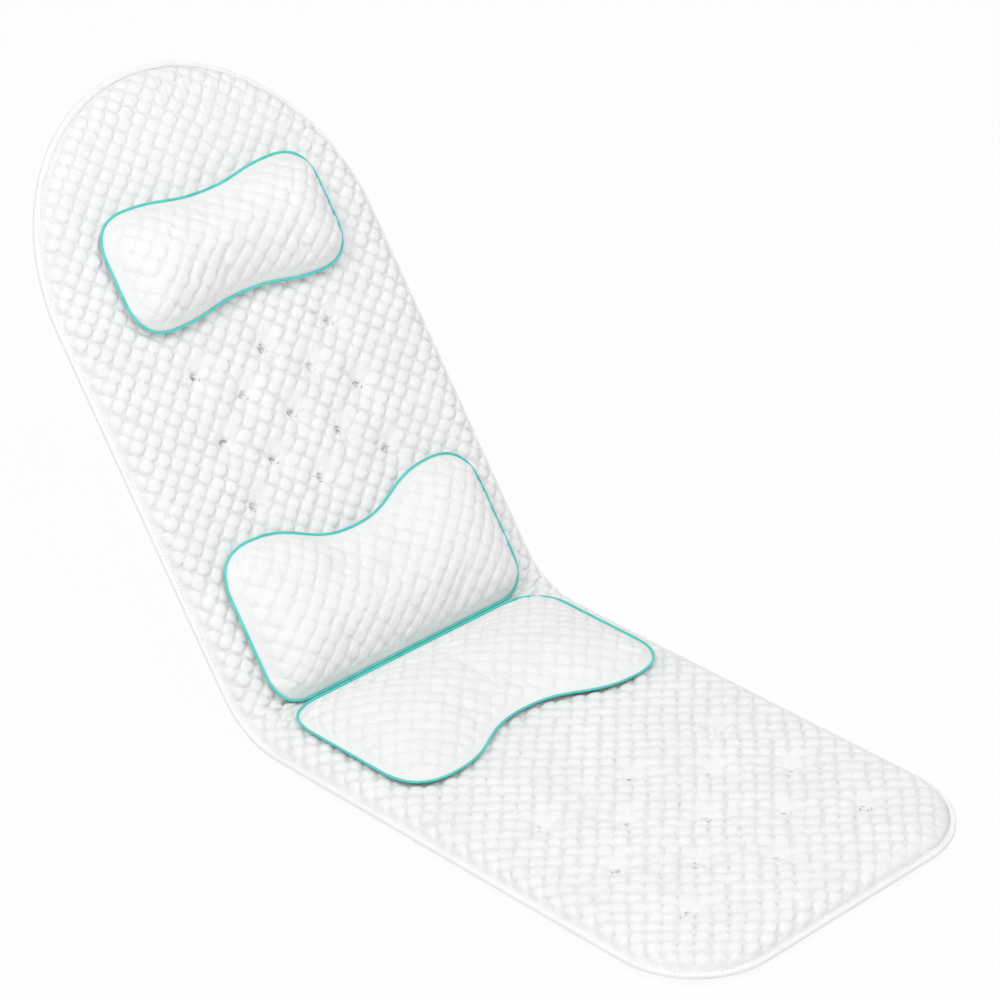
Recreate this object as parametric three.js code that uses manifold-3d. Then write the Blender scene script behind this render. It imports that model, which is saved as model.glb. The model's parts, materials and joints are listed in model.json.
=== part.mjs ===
// Full-length bath pillow: a padded, quilted mat folded up at the seat, with sewn-on
// head, lumbar and seat pillows and suction cups under both halves.
// Millimetres, +Z up, X across the mat, +Y toward the head end.
import * as THREE from 'three';
import { mergeVertices } from 'three/addons/utils/BufferGeometryUtils.js';
import Module from 'manifold-3d';

const wasm = await Module();
wasm.setup();

// Whole mat
const MAT_WIDTH = 400;
const LEG_LENGTH = 575; // fold line to foot edge
const BACK_LENGTH = 625; // fold line to top of the head end
const HEAD_ROUND = 212; // length of the half-elliptical head end
const FOOT_CORNER = 90; // radius of the foot corners
const MAT_HEIGHT = 16; // underside of the backing to the top of the cover

// Layers, from the underside up
const BACKING_THICK = 1.2;
const COVER_THICK = 2.5;
const GAP = 0.3; // air between layers that lie on each other
const SHOULDER = 16.7; // width of the cover's rounded shoulder
const PAD_CLEAR = 2.7; // foot of the shoulder to the padding's edge

// Binding tape folded over the edge
const BINDING_THICK = 1.2;
const BINDING_WIDTH = 11;

// Fold between the two halves
const RECLINE = THREE.MathUtils.degToRad(54);
const HINGE_HEIGHT = 6; // fold axis above the underside
const FOLD_REACH = 20; // fold line to where the bend runs out flat

// Sewn tufts in staggered rows
const TUFT_DEPTH = 7;
const TUFT_RADIUS = 20;
const TUFT_ROWS = 5;
const LEG_TUFT_ACROSS = 58; // sideways step from one row's tufts to the next row's
const LEG_TUFT_ALONG = 44;
const BACK_TUFT_ACROSS = 43;
const BACK_TUFT_ALONG = 34;
const BACK_TUFT_END = 86; // last tuft row to where the head end starts to round

// Pillows: their near and far edges dip toward each other, and their corners are rounded. Seam is its
// height over the mat, rise the crown's height over the rim, and reach the way from the rim to where
// the crown levels out
const PANEL_THICK = 2.5; // quilted panel of a pillow
const PIPING_RADIUS = 2.2;
const PIPING_SIDES = 6;
const PIPING_GAP = 0.4; // piping to the panels' rims
const SEAM_GAP = 0.2; // half the parting between top and base panels
const BASE_DRAW = 14; // how far the base is drawn in under the seam
const HEAD_PILLOW = {
  margin: 67, fromTop: 129, depth: 120,
  nearDip: 9, farDip: 9, nearRound: 40, farRound: 40,
  seam: 10, rise: 32, reach: 50,
};
const LUMBAR_PILLOW = {
  margin: 38, setback: 10, depth: 148,
  nearDip: 0, farDip: 29, nearRound: 38, farRound: 44,
  seam: 8, rise: 31, reach: 52,
};
const SEAT_PILLOW = {
  margin: 33, setback: 9, depth: 184,
  nearDip: 0, farDip: 33, nearRound: 46, farRound: 46,
  seam: 6, rise: 17, reach: 80,
};

// Suction cups
const CUP_RADIUS = 20;
const CUP_LIP = 2; // width of the flat sealing lip
const CUP_EDGE = 1; // thickness of the lip
const CUP_STAND = 9; // lip to the backing's underside
const CUP_HOLLOW = 3.4;
const CUP_COLLAR = 8; // radius under the backing
const CUP_NECK = 4; // radius through the backing
const CUP_KNOB = 7; // radius of the buttoned knob
const CUP_KNOB_HEIGHT = 3.6;
const CUP_KNOB_EDGE = 1.5;
const HOLE_GAP = 0.4; // neck to the hole in the backing, and knob to its pocket
const CUP_ROWS = 3;
const LEG_CUPS = { margin: 75, fromBend: 8, fromEnd: 70 };
const BACK_CUPS = { margin: 85, fromBend: 70, fromEnd: 115 };

// Facets
const FOLD_STEPS = 6; // round the bend
const HEAD_STEPS = 16; // round the head end
const CORNER_STEPS = 4; // round a foot corner, and along the foot edge
const PLAIN_ROWS = 6; // grid rows of the leg half without tufts
const LUMBAR_ROWS = 4; // grid rows of the back half below its tufts
const NECK_ROWS = 3; // grid rows of the back half above its tufts
const PILLOW_POINTS = 44; // round a pillow's outline
const SKIRT = 10; // seam to the crown's second ring
const CROWN_RING = 24; // seam to the crown's third ring
const CROWN_SHARES = [0.65, 0.3]; // size of the inner rings against the third
const CUP_SIDES = 16;

// Heights and insets that follow from the sizes above
const HALF_WIDTH = MAT_WIDTH / 2;
const EDGE_INSET = BINDING_THICK + GAP; // mat edge to the edge of cover and backing
const BINDING_REACH = BINDING_WIDTH + GAP; // mat edge to the foot of the shoulder
const PAD_INSET = BINDING_REACH + PAD_CLEAR;
const SHOULDER_INSET = BINDING_REACH + SHOULDER / 2;
const CROWN_INSET = BINDING_REACH + SHOULDER;
const COVER_RIM = BACKING_THICK + GAP + COVER_THICK;
const PAD_BOTTOM = BACKING_THICK + GAP;
const PILLOW_FLOOR = MAT_HEIGHT + GAP;
const RIM_INSET = PIPING_RADIUS + PIPING_GAP;
const FOLD_CENTRE = HINGE_HEIGHT + FOLD_REACH / Math.tan(RECLINE / 2);

const WHITE_FABRIC = { color: 0xf4f5f6, roughness: 0.9, metalness: 0 };
const BACKING_FABRIC = { color: 0xe9eaec, roughness: 0.95, metalness: 0 };
const PADDING_FIBRE = { color: 0xfafafa, roughness: 1, metalness: 0 };
const BINDING_TAPE = { color: 0xf7f8f8, roughness: 0.7, metalness: 0 };
const TEAL_PIPING = { color: 0x5cc6c2, roughness: 0.7, metalness: 0 };
const CLEAR_VINYL = { color: 0xdfe6e8, roughness: 0.25, metalness: 0 };

// Evenly spaced values from start to end, both included
function steps(start, end, count) {
  return Array.from({ length: count + 1 }, (_, i) => start + ((end - start) * i) / count);
}

// Closed body from points and triangles, turned so that its faces point out
function closedBody(points, triangles) {
  const faces = triangles.map((t) => [...t]);
  const volume = faces.reduce((sum, [a, b, c]) => {
    const cross = new THREE.Vector3().crossVectors(points[b], points[c]);
    return sum + points[a].dot(cross);
  }, 0);
  if (volume < 0) faces.forEach((face) => face.reverse());
  const geometry = new THREE.BufferGeometry().setFromPoints(points);
  geometry.setIndex(faces.flat());
  geometry.computeVertexNormals();
  return geometry;
}

function namedMesh(name, geometry, look) {
  const mesh = new THREE.Mesh(geometry, new THREE.MeshStandardMaterial(look));
  mesh.name = name;
  return mesh;
}

// Sections joined in order: closed into a loop, or capped at both ends
function sweptBody(sections, flatSection = null) {
  const count = sections[0].length;
  const last = sections.length - 1;
  const bands = flatSection ? last : sections.length;
  const triangles = [];
  for (let s = 0; s < bands; s++) {
    const here = s * count;
    const next = ((s + 1) % sections.length) * count;
    for (let k = 0; k < count; k++) {
      const after = (k + 1) % count;
      triangles.push([here + k, here + after, next + after]);
      triangles.push([here + k, next + after, next + k]);
    }
  }
  if (flatSection) {
    for (const [a, b, c] of THREE.ShapeUtils.triangulateShape(flatSection, [])) {
      triangles.push([c, b, a]);
      triangles.push([last * count + a, last * count + b, last * count + c]);
    }
  }
  return closedBody(sections.flat(), triangles);
}

function toSolid(geometry) {
  const bare = geometry.clone();
  bare.deleteAttribute('normal');
  bare.deleteAttribute('uv');
  const merged = mergeVertices(bare);
  const vertProperties = new Float32Array(merged.attributes.position.array);
  const triVerts = new Uint32Array(merged.index.array);
  return new wasm.Manifold(new wasm.Mesh({ numProp: 3, vertProperties, triVerts }));
}

function fromSolid(solid) {
  const { vertProperties, triVerts } = solid.getMesh();
  const geometry = new THREE.BufferGeometry();
  geometry.setAttribute('position', new THREE.BufferAttribute(vertProperties, 3));
  geometry.setIndex(new THREE.BufferAttribute(triVerts, 1));
  geometry.computeVertexNormals();
  return geometry;
}

// The two halves, each laid flat: x across, y out from the fold line
function legPanel() {
  const straightEnd = LEG_LENGTH - FOOT_CORNER;
  const firstTuft = straightEnd - (TUFT_ROWS - 1) * LEG_TUFT_ALONG;
  const tuftRows = steps(firstTuft, straightEnd, TUFT_ROWS - 1);
  return {
    name: 'leg',
    columns: gridColumns(LEG_TUFT_ACROSS),
    rows: [...steps(FOLD_REACH + GAP, firstTuft, PLAIN_ROWS), ...tuftRows.slice(1)],
    tufts: tuftPattern(tuftRows, LEG_TUFT_ACROSS),
    endCurve: footCurve,
    cups: cupPlaces(LEG_CUPS, LEG_LENGTH),
  };
}

function backPanel() {
  const straightEnd = BACK_LENGTH - HEAD_ROUND;
  const lastTuft = straightEnd - BACK_TUFT_END;
  const firstTuft = lastTuft - (TUFT_ROWS - 1) * BACK_TUFT_ALONG;
  const tuftRows = steps(firstTuft, lastTuft, TUFT_ROWS - 1);
  const lower = steps(FOLD_REACH + GAP, firstTuft, LUMBAR_ROWS);
  const upper = steps(lastTuft, straightEnd, NECK_ROWS);
  return {
    name: 'back',
    columns: gridColumns(BACK_TUFT_ACROSS),
    rows: [...lower, ...tuftRows.slice(1), ...upper.slice(1)],
    tufts: tuftPattern(tuftRows, BACK_TUFT_ACROSS),
    endCurve: headCurve,
    cups: cupPlaces(BACK_CUPS, BACK_LENGTH),
  };
}

// Grid columns at every half tuft step, and one at each side of the crown
function gridColumns(across) {
  const wide = HALF_WIDTH - CROWN_INSET;
  const pitch = across / 2;
  const count = Math.floor(wide / pitch - 0.5);
  const inner = steps(-count * pitch, count * pitch, 2 * count);
  return [-wide, ...inner, wide];
}

// Rows of three and two tufts in turn
function tuftPattern(rows, across) {
  return rows.flatMap((y, row) => {
    const places = row % 2 === 0 ? [-2, 0, 2] : [-1, 1];
    return places.map((place) => new THREE.Vector2(place * across, y));
  });
}

// Half ellipse of the head end, from right to left
function headCurve(inset) {
  const wide = HALF_WIDTH - inset;
  const long = HEAD_ROUND - inset;
  return steps(0, Math.PI, HEAD_STEPS).map((turn) => {
    return new THREE.Vector2(wide * Math.cos(turn), BACK_LENGTH - HEAD_ROUND + long * Math.sin(turn));
  });
}

// Two round corners and the straight foot edge, from right to left
function footCurve(inset) {
  const radius = FOOT_CORNER - inset;
  const across = HALF_WIDTH - FOOT_CORNER;
  const along = LEG_LENGTH - FOOT_CORNER;
  const right = steps(0, Math.PI / 2, CORNER_STEPS).map((turn) => {
    return new THREE.Vector2(across + radius * Math.cos(turn), along + radius * Math.sin(turn));
  });
  const middle = steps(across, -across, CORNER_STEPS).map((x) => new THREE.Vector2(x, along + radius));
  const left = right.map((point) => new THREE.Vector2(-point.x, point.y)).reverse();
  return [...right, ...middle.slice(1, -1), ...left];
}

// Edge of a half at one inset, from the right fold end round to the left fold end
function edgeLoop(panel, inset) {
  const wide = HALF_WIDTH - inset;
  const sideRows = panel.rows.slice(0, -1);
  const right = sideRows.map((y) => new THREE.Vector2(wide, y));
  const left = sideRows.map((y) => new THREE.Vector2(-wide, y)).reverse();
  return [...right, ...panel.endCurve(inset), ...left];
}

// Plan of a half: a grid, a fan of curves at the round end and a ring for each inset
function planMesh(panel, insets) {
  const { rows, columns } = panel;
  const points = [];
  const triangles = [];
  const add = (place, inset) => points.push({ place, inset }) - 1;
  const quad = (a, b, c, d) => triangles.push([a, b, c], [a, c, d]);

  const last = columns.length - 1;
  const grid = rows.map((y) => columns.map((x) => add(new THREE.Vector2(x, y), CROWN_INSET)));
  for (let row = 0; row + 1 < rows.length; row++) {
    for (let i = 0; i < last; i++) {
      quad(grid[row][i], grid[row][i + 1], grid[row + 1][i + 1], grid[row + 1][i]);
    }
  }

  const middle = last / 2;
  const endRow = grid[rows.length - 1];
  const heart = points[endRow[middle]].place;
  const outer = panel.endCurve(CROWN_INSET);
  let inside = outer.map(() => endRow[middle]);
  for (let ring = 1; ring <= middle; ring++) {
    const share = columns[middle + ring] / columns[last];
    const curve = outer.slice(1, -1).map((point) => add(heart.clone().lerp(point, share), CROWN_INSET));
    const outside = [endRow[middle + ring], ...curve, endRow[middle - ring]];
    for (let s = 0; s + 1 < outside.length; s++) {
      triangles.push([inside[s], outside[s], outside[s + 1]]);
      if (ring > 1) triangles.push([inside[s], outside[s + 1], inside[s + 1]]);
    }
    inside = outside;
  }

  const sideRows = grid.slice(0, -1);
  const rightSide = sideRows.map((row) => row[last]);
  const leftSide = sideRows.map((row) => row[0]).reverse();
  const loops = [[...rightSide, ...inside, ...leftSide]];
  for (const inset of insets) {
    const within = loops[loops.length - 1];
    const loop = edgeLoop(panel, inset).map((place) => add(place, inset));
    for (let s = 0; s + 1 < loop.length; s++) quad(within[s], loop[s], loop[s + 1], within[s + 1]);
    loops.push(loop);
  }

  const rim = loops[loops.length - 1];
  const leftEnds = loops.slice(0, -1).map((loop) => loop[loop.length - 1]).reverse();
  const rightEnds = loops.slice(0, -1).map((loop) => loop[0]);
  const boundary = [...rim, ...leftEnds, ...grid[0].slice(1, -1), ...rightEnds];
  return { points, triangles, boundary };
}

// Top of the cover: thin rim under the binding, rounded shoulder, level crown
function shoulderHeight(inset) {
  const share = Math.min(Math.max((inset - BINDING_REACH) / SHOULDER, 0), 1);
  return COVER_RIM + (MAT_HEIGHT - COVER_RIM) * Math.sqrt(1 - (1 - share) ** 2);
}

function tuftDent(panel, place) {
  const nearest = Math.min(...panel.tufts.map((tuft) => tuft.distanceTo(place)));
  if (nearest >= TUFT_RADIUS) return 0;
  return TUFT_DEPTH * Math.cos((Math.PI / 2) * (nearest / TUFT_RADIUS)) ** 2;
}

function coverTop(panel, { place, inset }) {
  return shoulderHeight(inset) - tuftDent(panel, place);
}

function wallTriangles(boundary, below) {
  return boundary.flatMap((here, i) => {
    const after = (i + 1) % boundary.length;
    const next = boundary[after];
    return [[here, below(here, i), below(next, after)], [here, below(next, after), next]];
  });
}

// Sheet of one thickness over a plan
function sheetBody({ points, triangles, boundary }, topHeight, thickness) {
  const top = points.map((point) => new THREE.Vector3(point.place.x, point.place.y, topHeight(point)));
  const bottom = top.map((point) => point.clone().setZ(point.z - thickness));
  const count = points.length;
  const under = triangles.map(([a, b, c]) => [count + c, count + b, count + a]);
  const walls = wallTriangles(boundary, (index) => count + index);
  return closedBody([...top, ...bottom], [...triangles, ...under, ...walls]);
}

// Slab over a plan, with a flat floor
function slabBody({ points, triangles, boundary }, topHeight, floor) {
  const top = points.map((point) => new THREE.Vector3(point.place.x, point.place.y, topHeight(point)));
  const edge = boundary.map((index) => points[index].place);
  const bottom = edge.map(({ x, y }) => new THREE.Vector3(x, y, floor));
  const count = points.length;
  const floorFaces = THREE.ShapeUtils.triangulateShape(edge, []);
  const under = floorFaces.map(([a, b, c]) => [count + c, count + b, count + a]);
  const walls = wallTriangles(boundary, (_, i) => count + i);
  return closedBody([...top, ...bottom], [...triangles, ...under, ...walls]);
}

function panelCover(panel) {
  const insets = [SHOULDER_INSET, PAD_INSET, BINDING_REACH, EDGE_INSET];
  const body = sheetBody(planMesh(panel, insets), (point) => coverTop(panel, point), COVER_THICK);
  return namedMesh(`${panel.name}_cover`, body, WHITE_FABRIC);
}

// Padding fills the cover, with a pocket over each cup's knob
function panelPadding(panel) {
  const top = (point) => coverTop(panel, point) - COVER_THICK - GAP;
  const body = slabBody(planMesh(panel, [SHOULDER_INSET, PAD_INSET]), top, PAD_BOTTOM);
  const pocketTop = PAD_BOTTOM + CUP_KNOB_HEIGHT + HOLE_GAP;
  const radius = CUP_KNOB + HOLE_GAP;
  const pocket = new THREE.CylinderGeometry(radius, radius, 2 * pocketTop, CUP_SIDES).rotateX(Math.PI / 2);
  let solid = toSolid(body);
  for (const { x, y } of panel.cups) {
    solid = solid.subtract(toSolid(pocket.clone().translate(x, y, 0)));
  }
  return namedMesh(`${panel.name}_padding`, fromSolid(solid), PADDING_FIBRE);
}

// Backing sheet with a hole for each cup's neck
function panelBacking(panel) {
  const sheet = new THREE.Shape(edgeLoop(panel, EDGE_INSET));
  for (const { x, y } of panel.cups) {
    const round = steps(0, 2 * Math.PI, CUP_SIDES).slice(0, -1).map((turn) => {
      const radius = CUP_NECK + HOLE_GAP;
      return new THREE.Vector2(x + radius * Math.cos(turn), y + radius * Math.sin(turn));
    });
    sheet.holes.push(new THREE.Path(round));
  }
  const body = new THREE.ExtrudeGeometry(sheet, { depth: BACKING_THICK, bevelEnabled: false });
  return namedMesh(`${panel.name}_backing`, body, BACKING_FABRIC);
}

// Binding tape's section: inset from the mat's edge and height, anticlockwise
function bindingSection() {
  const top = COVER_RIM + GAP;
  return [
    new THREE.Vector2(0, -EDGE_INSET),
    new THREE.Vector2(BINDING_WIDTH, -EDGE_INSET),
    new THREE.Vector2(BINDING_WIDTH, -GAP),
    new THREE.Vector2(BINDING_THICK, -GAP),
    new THREE.Vector2(BINDING_THICK, top),
    new THREE.Vector2(BINDING_WIDTH, top),
    new THREE.Vector2(BINDING_WIDTH, top + BINDING_THICK),
    new THREE.Vector2(0, top + BINDING_THICK),
  ];
}

function panelBinding(panel) {
  const section = bindingSection();
  const tracks = section.map(({ x: inset }) => edgeLoop(panel, inset));
  const sections = tracks[0].map((_, station) => {
    return section.map(({ y: height }, k) => {
      const { x, y } = tracks[k][station];
      return new THREE.Vector3(x, y, height);
    });
  });
  return namedMesh(`${panel.name}_binding`, sweptBody(sections, section), BINDING_TAPE);
}

// Bend between the halves: a section of x and height turned about the fold's centre
function foldBody(section) {
  const sections = steps(0, RECLINE, FOLD_STEPS).map((turn) => {
    return section.map(({ x, y: height }) => {
      const radius = FOLD_CENTRE - height;
      const along = radius * Math.sin(turn) - FOLD_REACH;
      return new THREE.Vector3(x, along, FOLD_CENTRE - radius * Math.cos(turn));
    });
  });
  return sweptBody(sections, section);
}

// Section of a layer that follows the cover's shoulders, anticlockwise
function foldLayerSection(insets, drop, bottom) {
  const shape = insets.map((inset) => new THREE.Vector2(HALF_WIDTH - inset, shoulderHeight(inset) - drop));
  const mirrored = shape.map(({ x, y }) => new THREE.Vector2(-x, y)).reverse();
  const top = [...shape, ...mirrored];
  return [...top, ...bottom(top).reverse()];
}

function foldPieces() {
  const padInsets = [PAD_INSET, SHOULDER_INSET, CROWN_INSET];
  const cover = foldLayerSection([EDGE_INSET, BINDING_REACH, ...padInsets], 0, (top) => {
    return top.map(({ x, y }) => new THREE.Vector2(x, y - COVER_THICK));
  });
  const padding = foldLayerSection(padInsets, COVER_THICK + GAP, (top) => {
    return [top[0], top[top.length - 1]].map(({ x }) => new THREE.Vector2(x, PAD_BOTTOM));
  });
  const wide = HALF_WIDTH - EDGE_INSET;
  const backing = [
    new THREE.Vector2(-wide, 0),
    new THREE.Vector2(wide, 0),
    new THREE.Vector2(wide, BACKING_THICK),
    new THREE.Vector2(-wide, BACKING_THICK),
  ];
  const left = bindingSection().map(({ x, y }) => new THREE.Vector2(x - HALF_WIDTH, y));
  const right = left.map(({ x, y }) => new THREE.Vector2(-x, y)).reverse();
  return [
    namedMesh('fold_cover', foldBody(cover), WHITE_FABRIC),
    namedMesh('fold_padding', foldBody(padding), PADDING_FIBRE),
    namedMesh('fold_backing', foldBody(backing), BACKING_FABRIC),
    namedMesh('fold_binding_left', foldBody(left), BINDING_TAPE),
    namedMesh('fold_binding_right', foldBody(right), BINDING_TAPE),
  ];
}

// Outline of a pillow from its near edge round to its far edge, mirrored across the mat's middle line
function pillowOutline({ margin, depth, nearDip, farDip, nearRound, farRound }, near) {
  const half = HALF_WIDTH - margin;
  const far = near + depth;
  const nearTurn = half - nearRound;
  const farTurn = half - farRound;
  const path = new THREE.Path();
  path.moveTo(0, near + nearDip);
  path.bezierCurveTo(nearTurn / 2, near + nearDip, nearTurn / 2, near, nearTurn, near);
  path.quadraticCurveTo(half, near, half, near + nearRound);
  path.lineTo(half, far - farRound);
  path.quadraticCurveTo(half, far, farTurn, far);
  path.bezierCurveTo(farTurn / 2, far, farTurn / 2, far - farDip, 0, far - farDip);
  const right = path.getSpacedPoints(PILLOW_POINTS / 2);
  const left = right.slice(1, -1).reverse();
  const flat = [...right, ...left.map(({ x, y }) => new THREE.Vector2(-x, y))];
  return flat.map(({ x, y }) => new THREE.Vector3(x, y, 0));
}

// Bone-shaped pillow, set down from the head end
function headOutline(pillow) {
  return pillowOutline(pillow, BACK_LENGTH - pillow.fromTop - pillow.depth);
}

// Kidney-shaped pillow, its straight edge set back from the fold
function besideFold(pillow) {
  return pillowOutline(pillow, FOLD_REACH - BASE_DRAW + pillow.setback);
}

// Outline point moved inward so that the edges on both its sides move by the same inset
function insetPoint(outline, i, inset) {
  const count = outline.length;
  const here = outline[i];
  const arriving = here.clone().sub(outline[(i + count - 1) % count]).normalize();
  const leaving = outline[(i + 1) % count].clone().sub(here).normalize();
  const inward = new THREE.Vector3(-arriving.y - leaving.y, arriving.x + leaving.x, 0).normalize();
  const facing = inward.y * leaving.x - inward.x * leaving.y;
  return here.clone().addScaledVector(inward, inset / facing);
}

// Height of a pillow's crown over the mat, from the distance to its rim
function crownHeight(pillow, outline, point) {
  const toSeam = Math.min(...outline.map((edge) => edge.distanceTo(point)));
  const inside = Math.min(Math.max(toSeam - RIM_INSET, 0), pillow.reach);
  const rim = pillow.seam + SEAM_GAP + PANEL_THICK;
  return rim + pillow.rise * (1 - (1 - inside / pillow.reach) ** 2);
}

// Rings of a pillow's crown from the rim in, ending at one middle point
function crownRings(pillow, outline, rim) {
  const heart = new THREE.Box3().setFromPoints(outline).getCenter(new THREE.Vector3());
  const ringAt = (inset) => outline.map((_, i) => insetPoint(outline, i, inset));
  const inner = ringAt(CROWN_RING);
  const shrunk = CROWN_SHARES.map((share) => inner.map((point) => heart.clone().lerp(point, share)));
  const rings = [ringAt(rim), ringAt(SKIRT), inner, ...shrunk, [heart]];
  const lift = (point) => point.clone().setZ(PILLOW_FLOOR + crownHeight(pillow, outline, point));
  return rings.map((ring) => ring.map(lift));
}

// Skin over rings that end at one middle point, as points and triangles
function domeSkin(rings, offset, start) {
  const count = rings[0].length;
  const points = rings.flat().map((point) => point.clone().setZ(point.z + offset));
  const triangles = [];
  for (let ring = 0; ring + 1 < rings.length; ring++) {
    const closing = rings[ring + 1].length === 1;
    for (let k = 0; k < count; k++) {
      const after = (k + 1) % count;
      const here = start + ring * count;
      const next = start + (ring + 1) * count;
      if (closing) triangles.push([here + k, here + after, next]);
      else triangles.push([here + k, here + after, next + after], [here + k, next + after, next + k]);
    }
  }
  return { points, triangles };
}

function pillowTop(name, pillow, outline) {
  const rings = crownRings(pillow, outline, RIM_INSET);
  const outer = domeSkin(rings, 0, 0);
  const inner = domeSkin(rings, -PANEL_THICK, outer.points.length);
  const under = inner.triangles.map(([a, b, c]) => [c, b, a]);
  const wall = outline.flatMap((_, k) => {
    const after = (k + 1) % outline.length;
    const below = outer.points.length;
    return [[k, below + k, below + after], [k, below + after, after]];
  });
  const body = closedBody([...outer.points, ...inner.points], [...outer.triangles, ...under, ...wall]);
  return namedMesh(`${name}_top`, body, WHITE_FABRIC);
}

// Base panel: a sloping band from the stitching on the mat out to the seam
function pillowBase(name, pillow, outline) {
  const seam = PILLOW_FLOOR + pillow.seam - SEAM_GAP;
  const profile = [
    [BASE_DRAW, PILLOW_FLOOR],
    [RIM_INSET, seam],
    [RIM_INSET + PANEL_THICK, seam],
    [BASE_DRAW + PANEL_THICK, PILLOW_FLOOR],
  ];
  const sections = outline.map((_, i) => {
    return profile.map(([inset, height]) => insetPoint(outline, i, inset).setZ(height));
  });
  return namedMesh(`${name}_base`, sweptBody(sections), WHITE_FABRIC);
}

// Fibre fill inside the two panels
function pillowFill(name, pillow, outline) {
  const inside = PANEL_THICK + PIPING_GAP;
  const ringAt = (inset, height) => outline.map((_, i) => insetPoint(outline, i, inset).setZ(height));
  const floor = ringAt(BASE_DRAW + inside, PILLOW_FLOOR);
  const waist = ringAt(RIM_INSET + inside, PILLOW_FLOOR + pillow.seam);
  const drop = PANEL_THICK + GAP;
  const crown = crownRings(pillow, outline, RIM_INSET).slice(1);
  const dome = crown.map((ring) => ring.map((point) => point.clone().setZ(point.z - drop)));
  const skin = domeSkin([floor, waist, ...dome], 0, 0);
  const flatFloor = floor.map(({ x, y }) => new THREE.Vector2(x, y));
  const under = THREE.ShapeUtils.triangulateShape(flatFloor, []).map(([a, b, c]) => [c, b, a]);
  return namedMesh(`${name}_fill`, closedBody(skin.points, [...skin.triangles, ...under]), PADDING_FIBRE);
}

// Contrast piping round the seam
function pillowPiping(name, pillow, outline) {
  const turns = steps(0, 2 * Math.PI, PIPING_SIDES).slice(0, -1);
  const sections = outline.map((_, i) => {
    return turns.map((turn) => {
      const point = insetPoint(outline, i, PIPING_RADIUS * Math.cos(turn));
      return point.setZ(PILLOW_FLOOR + pillow.seam + PIPING_RADIUS * Math.sin(turn));
    });
  });
  return namedMesh(`${name}_piping`, sweptBody(sections), TEAL_PIPING);
}

function pillowPieces(name, pillow, outline) {
  return [pillowTop, pillowBase, pillowFill, pillowPiping].map((piece) => piece(name, pillow, outline));
}

// Two columns of cups, row by row out from the fold
function cupPlaces({ margin, fromBend, fromEnd }, length) {
  const across = HALF_WIDTH - margin;
  const rows = steps(FOLD_REACH + fromBend, length - fromEnd, CUP_ROWS - 1);
  return rows.flatMap((y) => [new THREE.Vector2(-across, y), new THREE.Vector2(across, y)]);
}

// Cup turned about its own axis: knob, neck, collar, flared cup, sealing lip and hollow
function cupBody() {
  const knobFoot = PAD_BOTTOM;
  const knobTop = knobFoot + CUP_KNOB_HEIGHT;
  const lip = -CUP_STAND;
  const profile = [
    [0, lip + CUP_HOLLOW],
    [CUP_RADIUS - CUP_LIP, lip],
    [CUP_RADIUS, lip],
    [CUP_RADIUS, lip + CUP_EDGE],
    [CUP_COLLAR + CUP_LIP, (lip - GAP) / 2],
    [CUP_COLLAR, -GAP],
    [CUP_NECK, -GAP],
    [CUP_NECK, knobFoot],
    [CUP_KNOB, knobFoot],
    [CUP_KNOB, knobFoot + CUP_KNOB_EDGE],
    [0, knobTop],
  ].map(([radius, height]) => new THREE.Vector2(radius, height));
  return new THREE.LatheGeometry(profile, CUP_SIDES).rotateX(Math.PI / 2);
}

function panelCups(panel) {
  return panel.cups.map(({ x, y }, i) => {
    const cup = namedMesh(`${panel.name}_suction_cup_${i + 1}`, cupBody(), CLEAR_VINYL);
    cup.position.set(x, y, 0);
    return cup;
  });
}

function panelGroup(panel) {
  const group = new THREE.Group();
  const layers = [panelCover, panelPadding, panelBacking, panelBinding];
  group.add(...layers.map((layer) => layer(panel)), ...panelCups(panel));
  return group;
}

// Leg half, turned so that it runs from the fold toward the feet
function legHalf() {
  const group = panelGroup(legPanel());
  group.add(...pillowPieces('seat_pillow', SEAT_PILLOW, besideFold(SEAT_PILLOW)));
  group.rotation.z = Math.PI;
  return group;
}

// Back half, turned up about the fold axis
function backHalf() {
  const flat = panelGroup(backPanel());
  flat.add(...pillowPieces('head_pillow', HEAD_PILLOW, headOutline(HEAD_PILLOW)));
  flat.add(...pillowPieces('lumbar_pillow', LUMBAR_PILLOW, besideFold(LUMBAR_PILLOW)));
  flat.position.z = -HINGE_HEIGHT;
  const turned = new THREE.Group();
  turned.add(flat);
  turned.position.z = HINGE_HEIGHT;
  turned.rotation.x = RECLINE;
  return turned;
}

// Whole part, with its origin at the middle of its footprint on the tub floor
function bathPillow() {
  const part = new THREE.Group();
  part.add(legHalf(), backHalf(), ...foldPieces());
  part.updateMatrixWorld(true);
  const box = new THREE.Box3().setFromObject(part, true);
  const centre = box.getCenter(new THREE.Vector3());
  part.position.set(-centre.x, -centre.y, -box.min.z);
  return part;
}

export default bathPillow();
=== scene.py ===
"""Looks of a folding bath pillow: a quilted mat with three piped pillows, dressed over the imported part."""

import json
import math

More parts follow.
